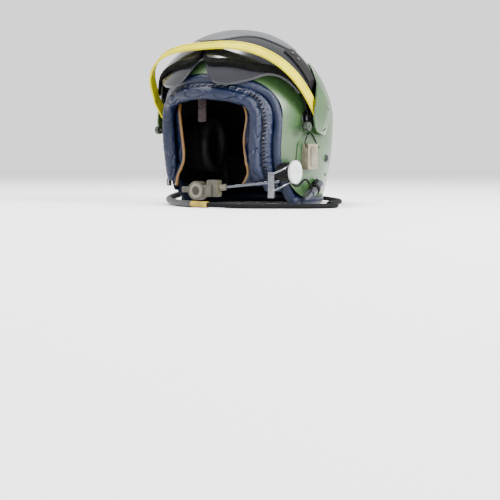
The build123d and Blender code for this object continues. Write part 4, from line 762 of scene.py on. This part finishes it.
def flap_sheet(sign):
    """The points and faces of one flap, and the line of its free edge."""
    columns = []
    for c in range(FLAP_COLUMNS + 1):
        line = catmull([flap_line(level, c / FLAP_COLUMNS) for level in FLAP_LEVELS[sign]], 40)
        last = len(line) - 1
        columns.append([line[round(last * r / FLAP_ROWS)] for r in range(FLAP_ROWS + 1)])
    verts, faces = [], []
    for r in range(FLAP_ROWS + 1):
        for c in range(FLAP_COLUMNS + 1):
            p = columns[c][r]
            along = (columns[min(c + 1, FLAP_COLUMNS)][r] - columns[max(c - 1, 0)][r]).normalized()
            normal = Vector((along.y, -along.x, 0))
            pull = FLAP_SWELL * noise.noise(Vector((p.z * 60, c * 0.16, 2.0 + sign)))
            fold = Vector((p.z * 55 + c * 0.09, c * 0.11, 5.0 + sign))
            pull -= FLAP_FOLD * crease(fold, FLAP_FOLD_WIDTH)
            pull *= min(1, c / FLAP_HELD_COLUMNS)
            for side in (1, -1):
                v = p + normal * (side * FLAP_THICK / 2 + pull)
                verts.append(Vector((v.x * sign, v.y, v.z)))

    def index(r, c, side):
        return (r * (FLAP_COLUMNS + 1) + c) * 2 + side

    for r in range(FLAP_ROWS):
        for c in range(FLAP_COLUMNS):
            corners = ((r, c), (r, c + 1), (r + 1, c + 1), (r + 1, c))
            for side in (0, 1):
                faces.append(tuple(index(*corner, side) for corner in corners))
    rim = [(r, 0) for r in range(FLAP_ROWS + 1)]
    rim += [(FLAP_ROWS, c) for c in range(1, FLAP_COLUMNS + 1)]
    rim += [(r, FLAP_COLUMNS) for r in range(FLAP_ROWS - 1, -1, -1)]
    rim += [(0, c) for c in range(FLAP_COLUMNS - 1, 0, -1)]
    for here, ahead in zip(rim, rim[1:] + rim[:1]):
        faces.append((index(*here, 0), index(*ahead, 0), index(*ahead, 1), index(*here, 1)))
    return verts, faces, [Vector((p.x * sign, p.y, p.z)) for p in columns[FLAP_COLUMNS]]


def joined(shapes):
    """Several (points, faces) pairs as one."""
    verts, faces = [], []
    for points, polygons in shapes:
        base = len(verts)
        verts += points
        faces += [tuple(base + i for i in polygon) for polygon in polygons]
    return verts, faces


class HELMET_OT_ear_flaps(bpy.types.Operator):
    """Make the leather ear flaps with their light bindings"""

    bl_idname = "helmet.ear_flaps"
    bl_label = "Ear flaps"

    def execute(self, context):
        sheets = [flap_sheet(sign) for sign in (1, -1)]
        shape = joined([(verts, faces) for verts, faces, edge in sheets])
        flaps = outward(add_mesh("leather_ear_flaps", *shape))
        keep(flaps, "roll_leather", "ear_flaps")
        strips = [
            tube_shape(resampled(edge, BINDING_STEP), BINDING_RADIUS, 12, wrinkled(0.12, 160, 4.0))
            for verts, faces, edge in sheets
        ]
        shape = joined([(verts, faces) for verts, faces, uvs in strips])
        binding = outward(add_mesh("leather_bindings", *shape))
        keep(binding, "binding_tan", "ear_flap_bindings")
        return {"FINISHED"}


class HELMET_OT_pads(bpy.types.Operator):
    """Make the crown, nape and ear pads, the seam band and the brow tab"""

    bl_idname = "helmet.pads"
    bl_label = "Pads"

    def execute(self, context):
        for name, node, voxel, smooth, puff, look, slot in (
            ("padded_crown", "crown_pad", 0.0025, 10, 0.0004, "pad_leather", "pad_leather"),
            ("padded_nape", "nape_pad", 0.0025, 8, 0.0004, "pad_leather", "pad_leather"),
            ("leather_seam_band", "face_roll_seam_band", 0.0012, 4, 0.0004, "roll_leather",
             "roll_leather"),
            ("padded_ear_rings", "ear_cushions", 0.0022, 8, 0.0006, "pad_leather", "pad_leather"),
            ("leather_brow_tab", "crown_tab", 0.0010, 3, 0.0001, "tab_brown", "tab_leather"),
        ):
            obj = soft_copy(name, node, voxel, smooth, puff)
            keep(obj, look, node)
        return {"FINISHED"}


CORD_RADIUS, LEAD_RADIUS = 0.0035, 0.0014
SLEEVE_BORE, SLEEVE_SIDES, SLEEVE_STEP = 0.0036, 24, 0.0015


def spline_curve(name, points, radius):
    """A smooth round cord on its route, and the line that it follows."""
    curve = bpy.data.curves.new(name, "CURVE")
    curve.dimensions = "3D"
    spline = curve.splines.new("NURBS")
    spline.points.add(len(points) - 1)
    for place, co in zip(spline.points, points):
        place.co = (*co, 1)
    spline.order_u = 3
    spline.use_endpoint_u = True
    spline.resolution_u = 10
    obj = in_scene(bpy.data.objects.new(name, curve))
    mesh = evaluated_mesh(obj)
    line = [v.co.copy() for v in mesh.vertices]
    bpy.data.meshes.remove(mesh)
    curve.bevel_depth = radius
    curve.bevel_resolution = 6
    curve.use_fill_caps = True
    return obj, line


def part_of(line, start, end):
    """The part of a line between two lengths along it."""
    out, gone = [], 0.0
    for a, b in zip(line, line[1:]):
        run = (b - a).length
        for want in (start, end):
            if gone <= want < gone + run:
                out.append(a.lerp(b, (want - gone) / run))
        if start < gone + run < end:
            out.append(b.copy())
        gone += run
    return out


class HELMET_OT_cords(bpy.types.Operator):
    """Lay the communication cord with its sleeves, and the microphone lead"""

    bl_idname = "helmet.cords"
    bl_label = "Cords"

    def execute(self, context):
        cord, line = spline_curve("comm_lead", [CORD_START, *CORD_ROUTE], CORD_RADIUS)
        keep(cord, "cord_black", "comm_cord")
        for colour, start, end, radius in (
            ("grey", 0.048, 0.222, 0.0048), ("yellow", 0.2221, 0.254, 0.0044),
        ):
            part = resampled(part_of(line, start, end), SLEEVE_STEP)
            sleeve = tube_mesh("lead_sleeve_" + colour, part, radius, SLEEVE_SIDES,
                               wrinkled(0.03, 90, 5.0), bore=SLEEVE_BORE)
            sleeve_look = "sleeve_" + colour
            keep(outward(sleeve), sleeve_look, "cord_" + sleeve_look)
        lead, line = spline_curve("mic_wire", LEAD_ROUTE, LEAD_RADIUS)
        keep(lead, "cord_black", "mic_lead")
        return {"FINISHED"}


def stitch_tree():
    """A round stitch on every edge of a mesh, and the inputs' identifiers."""
    tree = bpy.data.node_groups.new("lacing_stitches", "GeometryNodeTree")
    make, link = tree.nodes.new, tree.links.new
    tree.interface.new_socket("Edges", in_out="INPUT", socket_type="NodeSocketGeometry")
    sockets = {}
    for label, kind, value in (
        ("Radius", "NodeSocketFloat", 0.0006), ("Length share", "NodeSocketFloat", 0.94),
        ("Material", "NodeSocketMaterial", None),
    ):
        socket = tree.interface.new_socket(label, in_out="INPUT", socket_type=kind)
        if value:
            socket.default_value = value
        sockets[label] = socket.identifier
    tree.interface.new_socket("Stitches", in_out="OUTPUT", socket_type="NodeSocketGeometry")
    entry, leave = make("NodeGroupInput"), make("NodeGroupOutput")
    ends = make("GeometryNodeInputMeshEdgeVertices")
    along = make("ShaderNodeVectorMath")
    along.operation = "SUBTRACT"
    held = make("GeometryNodeCaptureAttribute")
    held.domain = "EDGE"
    held.capture_items.new("VECTOR", "Along")
    centres = make("GeometryNodeMeshToPoints")
    centres.mode = "EDGES"
    length = make("ShaderNodeVectorMath")
    length.operation = "LENGTH"
    size = make("ShaderNodeCombineXYZ")
    size.inputs["X"].default_value = size.inputs["Y"].default_value = 1.0
    thread = make("GeometryNodeMeshCylinder")
    thread.inputs["Vertices"].default_value = 8
    thread.inputs["Depth"].default_value = 1.0
    place = make("GeometryNodeInstanceOnPoints")
    align = make("FunctionNodeAlignRotationToVector")
    align.axis = "Z"
    real = make("GeometryNodeRealizeInstances")
    dress = make("GeometryNodeSetMaterial")
    link(ends.outputs["Position 2"], along.inputs[0])
    link(ends.outputs["Position 1"], along.inputs[1])
    link(entry.outputs["Edges"], held.inputs["Geometry"])
    link(along.outputs["Vector"], held.inputs["Along"])
    link(held.outputs["Geometry"], centres.inputs["Mesh"])
    link(centres.outputs["Points"], place.inputs["Points"])
    link(entry.outputs["Radius"], thread.inputs["Radius"])
    link(thread.outputs["Mesh"], place.inputs["Instance"])
    link(held.outputs["Along"], align.inputs["Vector"])
    link(align.outputs["Rotation"], place.inputs["Rotation"])
    link(held.outputs["Along"], length.inputs[0])
    share = entry.outputs["Length share"]
    link(math_node(tree, "MULTIPLY", length.outputs["Value"], share), size.inputs["Z"])
    link(size.outputs["Vector"], place.inputs["Scale"])
    link(place.outputs["Instances"], real.inputs["Geometry"])
    link(real.outputs["Geometry"], dress.inputs["Geometry"])
    link(entry.outputs["Material"], dress.inputs["Material"])
    link(dress.outputs["Geometry"], leave.inputs["Stitches"])
    return tree, sockets


# The stitches run over three lines on the seam band: how far in from the window's edge and the
# skin, in millimetres, and from which heights they start and turn into the brow's seam, in metres
STITCH_EDGES, STITCH_INSET, STITCH_FOOT_Z, BROW_SEAM_Z = (15.5, 18.5, 21.5), 4.7, 0.030, 0.158
STITCH_LINE_STEP = 0.0004
BROW_THREAD_RADIUS, LACE_RADIUS = 0.0005, 0.0008


def picked(points, count):
    """Evenly spaced points of a line, count + 1 of them."""
    return [points[round(i * (len(points) - 1) / count)] for i in range(count + 1)]


class HELMET_OT_stitches(bpy.types.Operator):
    """Sew the brow seam and lace the seam at both sides"""

    bl_idname = "helmet.stitches"
    bl_label = "Stitches"

    def execute(self, context):
        rows = []
        for edge in STITCH_EDGES:
            line = window_path(edge, STITCH_INSET, STITCH_FOOT_Z)
            count = 2 * round(line_length(line) / looks().stitch_pitch)
            rows.append(picked(resampled(catmull(line, CURVE_STEPS), STITCH_LINE_STEP), count))
        steps = min(len(row) for row in rows) - 1
        outer, middle, inner = (picked(row, steps) for row in rows)
        # The brow stitches carry the light grey of a painted highlight; the side lacing is the
        # same cord in dark
        light, dark = [], []
        for i in range(steps):
            at_brow = middle[i].z > BROW_SEAM_Z
            if at_brow and i % 4 < 2:
                light.append((outer[i], outer[i + 1]))
            elif at_brow and i % 4 == 2:
                light += [(inner[i], inner[i + 1]), (outer[i], inner[i])]
            elif not at_brow:
                dark.append((outer[i], inner[i + 1]) if i % 2 else (inner[i], outer[i + 1]))
        tree, sockets = stitch_tree()
        for name, stitches, material, radius in (
            ("brow_stitching", light, "thread_painted_highlight", BROW_THREAD_RADIUS),
            ("side_lacing", dark, "lace_dark", LACE_RADIUS),
        ):
            mesh = bpy.data.meshes.new(name)
            ends = [tuple(p) for pair in stitches for p in pair]
            mesh.from_pydata(ends, [(2 * i, 2 * i + 1) for i in range(len(stitches))], [])
            obj = in_scene(bpy.data.objects.new(name, mesh))
            mod = obj.modifiers.new("stitches", "NODES")
            mod.node_group = tree
            mod[sockets["Radius"]] = radius
            mod[sockets["Material"]] = MATERIALS[material]
            applied(obj)
            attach(obj, "helmet")
        return {"FINISHED"}


FLOOR_HALF, FLOOR_GREY, SKY_STRENGTH = 8.0, 0.9, 1.5
# Each light: its place, its power in watts and its width
LIGHTS = (
    ("key", (2.0, -0.2, 0.9), 120, 0.7), ("top", (-0.4, -0.2, 2.2), 90, 0.7),
    ("fill", (-1.2, -1.7, 0.7), 16, 1.2),
)
LIGHT_TARGET = Vector((0, 0, 0.12))
# The camera stands as for the photograph, which is 500 pixels wide and shows 1.544 mm in each at
# the helmet's middle, with that middle at AIM_COLUMN and AIM_ROW
VIEW_AZIMUTH, VIEW_DISTANCE, VIEW_HEIGHT = math.radians(33.0), 1.5, 0.06
PICTURE_WIDTH, MM_PER_PIXEL, AIM_COLUMN, AIM_ROW = 500.0, 1.544, 249.0, 204.0
SENSOR_WIDTH = 36.0


def light_stage(scene):
    world = bpy.data.worlds.new("soft_sky")
    scene.world = world
    world.use_nodes = True
    sky = world.node_tree.nodes["Background"]
    sky.inputs["Color"].default_value = (1, 1, 1, 1)
    sky.inputs["Strength"].default_value = SKY_STRENGTH
    for name, place, power, width in LIGHTS:
        light = bpy.data.lights.new(name, "AREA")
        light.energy, light.size = power, width
        lamp = in_scene(bpy.data.objects.new(name, light))
        lamp.location = place
        lamp.rotation_euler = (LIGHT_TARGET - Vector(place)).to_track_quat("-Z", "Y").to_euler()


def place_camera(scene):
    sin, cos = math.sin(VIEW_AZIMUTH), math.cos(VIEW_AZIMUTH)
    focal = 1000 * VIEW_DISTANCE / MM_PER_PIXEL
    pitch = math.atan2(-VIEW_HEIGHT, VIEW_DISTANCE)
    pitch -= math.atan((PICTURE_WIDTH / 2 - AIM_ROW) / focal)
    yaw = math.atan((AIM_COLUMN - PICTURE_WIDTH / 2) / focal)
    forward = Vector((-sin * math.cos(pitch), cos * math.cos(pitch), math.sin(pitch)))
    right = Vector((cos, sin, 0))
    ahead = forward * math.cos(yaw) - right * math.sin(yaw)
    right = right * math.cos(yaw) + forward * math.sin(yaw)
    camera = bpy.data.cameras.new("camera")
    camera.sensor_width = SENSOR_WIDTH
    camera.lens = SENSOR_WIDTH * focal / PICTURE_WIDTH
    eye = in_scene(bpy.data.objects.new("camera", camera))
    eye.matrix_world = Matrix((right, right.cross(ahead), -ahead)).transposed().to_4x4()
    eye.location = (VIEW_DISTANCE * sin, -VIEW_DISTANCE * cos, VIEW_HEIGHT)
    scene.camera = eye


class HELMET_OT_stage(bpy.types.Operator):
    """Set the floor, the lights and the camera"""

    bl_idname = "helmet.stage"
    bl_label = "Stage"

    def execute(self, context):
        corners = ((-1, -1, 0), (1, -1, 0), (1, 1, 0), (-1, 1, 0))
        floor = add_mesh("floor", [Vector(c) * FLOOR_HALF for c in corners], [(0, 1, 2, 3)])
        pale = bpy.data.materials.new("pale_floor")
        pale.use_nodes = True
        shader = pale.node_tree.nodes["Principled BSDF"]
        shader.inputs["Base Color"].default_value = (FLOOR_GREY, FLOOR_GREY, FLOOR_GREY, 1)
        shader.inputs["Roughness"].default_value = 0.9
        floor.data.materials.append(pale)
        light_stage(context.scene)
        place_camera(context.scene)
        return {"FINISHED"}


STEPS = (
    HELMET_OT_finishes, HELMET_OT_stage, HELMET_OT_cords, HELMET_OT_hard_parts, HELMET_OT_rolls,
    HELMET_OT_ear_flaps, HELMET_OT_pads, HELMET_OT_stitches,
)


class HELMET_PT_panel(bpy.types.Panel):
    """Every step of the helmet, in order"""

    bl_idname = "HELMET_PT_panel"
    bl_label = "Helmet"
    bl_space_type = "VIEW_3D"
    bl_region_type = "UI"
    bl_category = "Helmet"

    def draw(self, context):
        column = self.layout.column()
        for name in HelmetLooks.__annotations__:
            column.prop(context.scene.helmet_looks, name)
        for step in STEPS:
            column.operator(step.bl_idname)


CLASSES = (HelmetLooks, *STEPS, HELMET_PT_panel)


def register():
    for cls in CLASSES:
        bpy.utils.register_class(cls)
    bpy.types.Scene.helmet_looks = PointerProperty(type=HelmetLooks)


def unregister():
    del bpy.types.Scene.helmet_looks
    for cls in reversed(CLASSES):
        bpy.utils.unregister_class(cls)


def main():
    register()
    for step in STEPS:
        group, name = step.bl_idname.split(".")
        getattr(getattr(bpy.ops, group), name)()


if __name__ == "__main__":
    main()
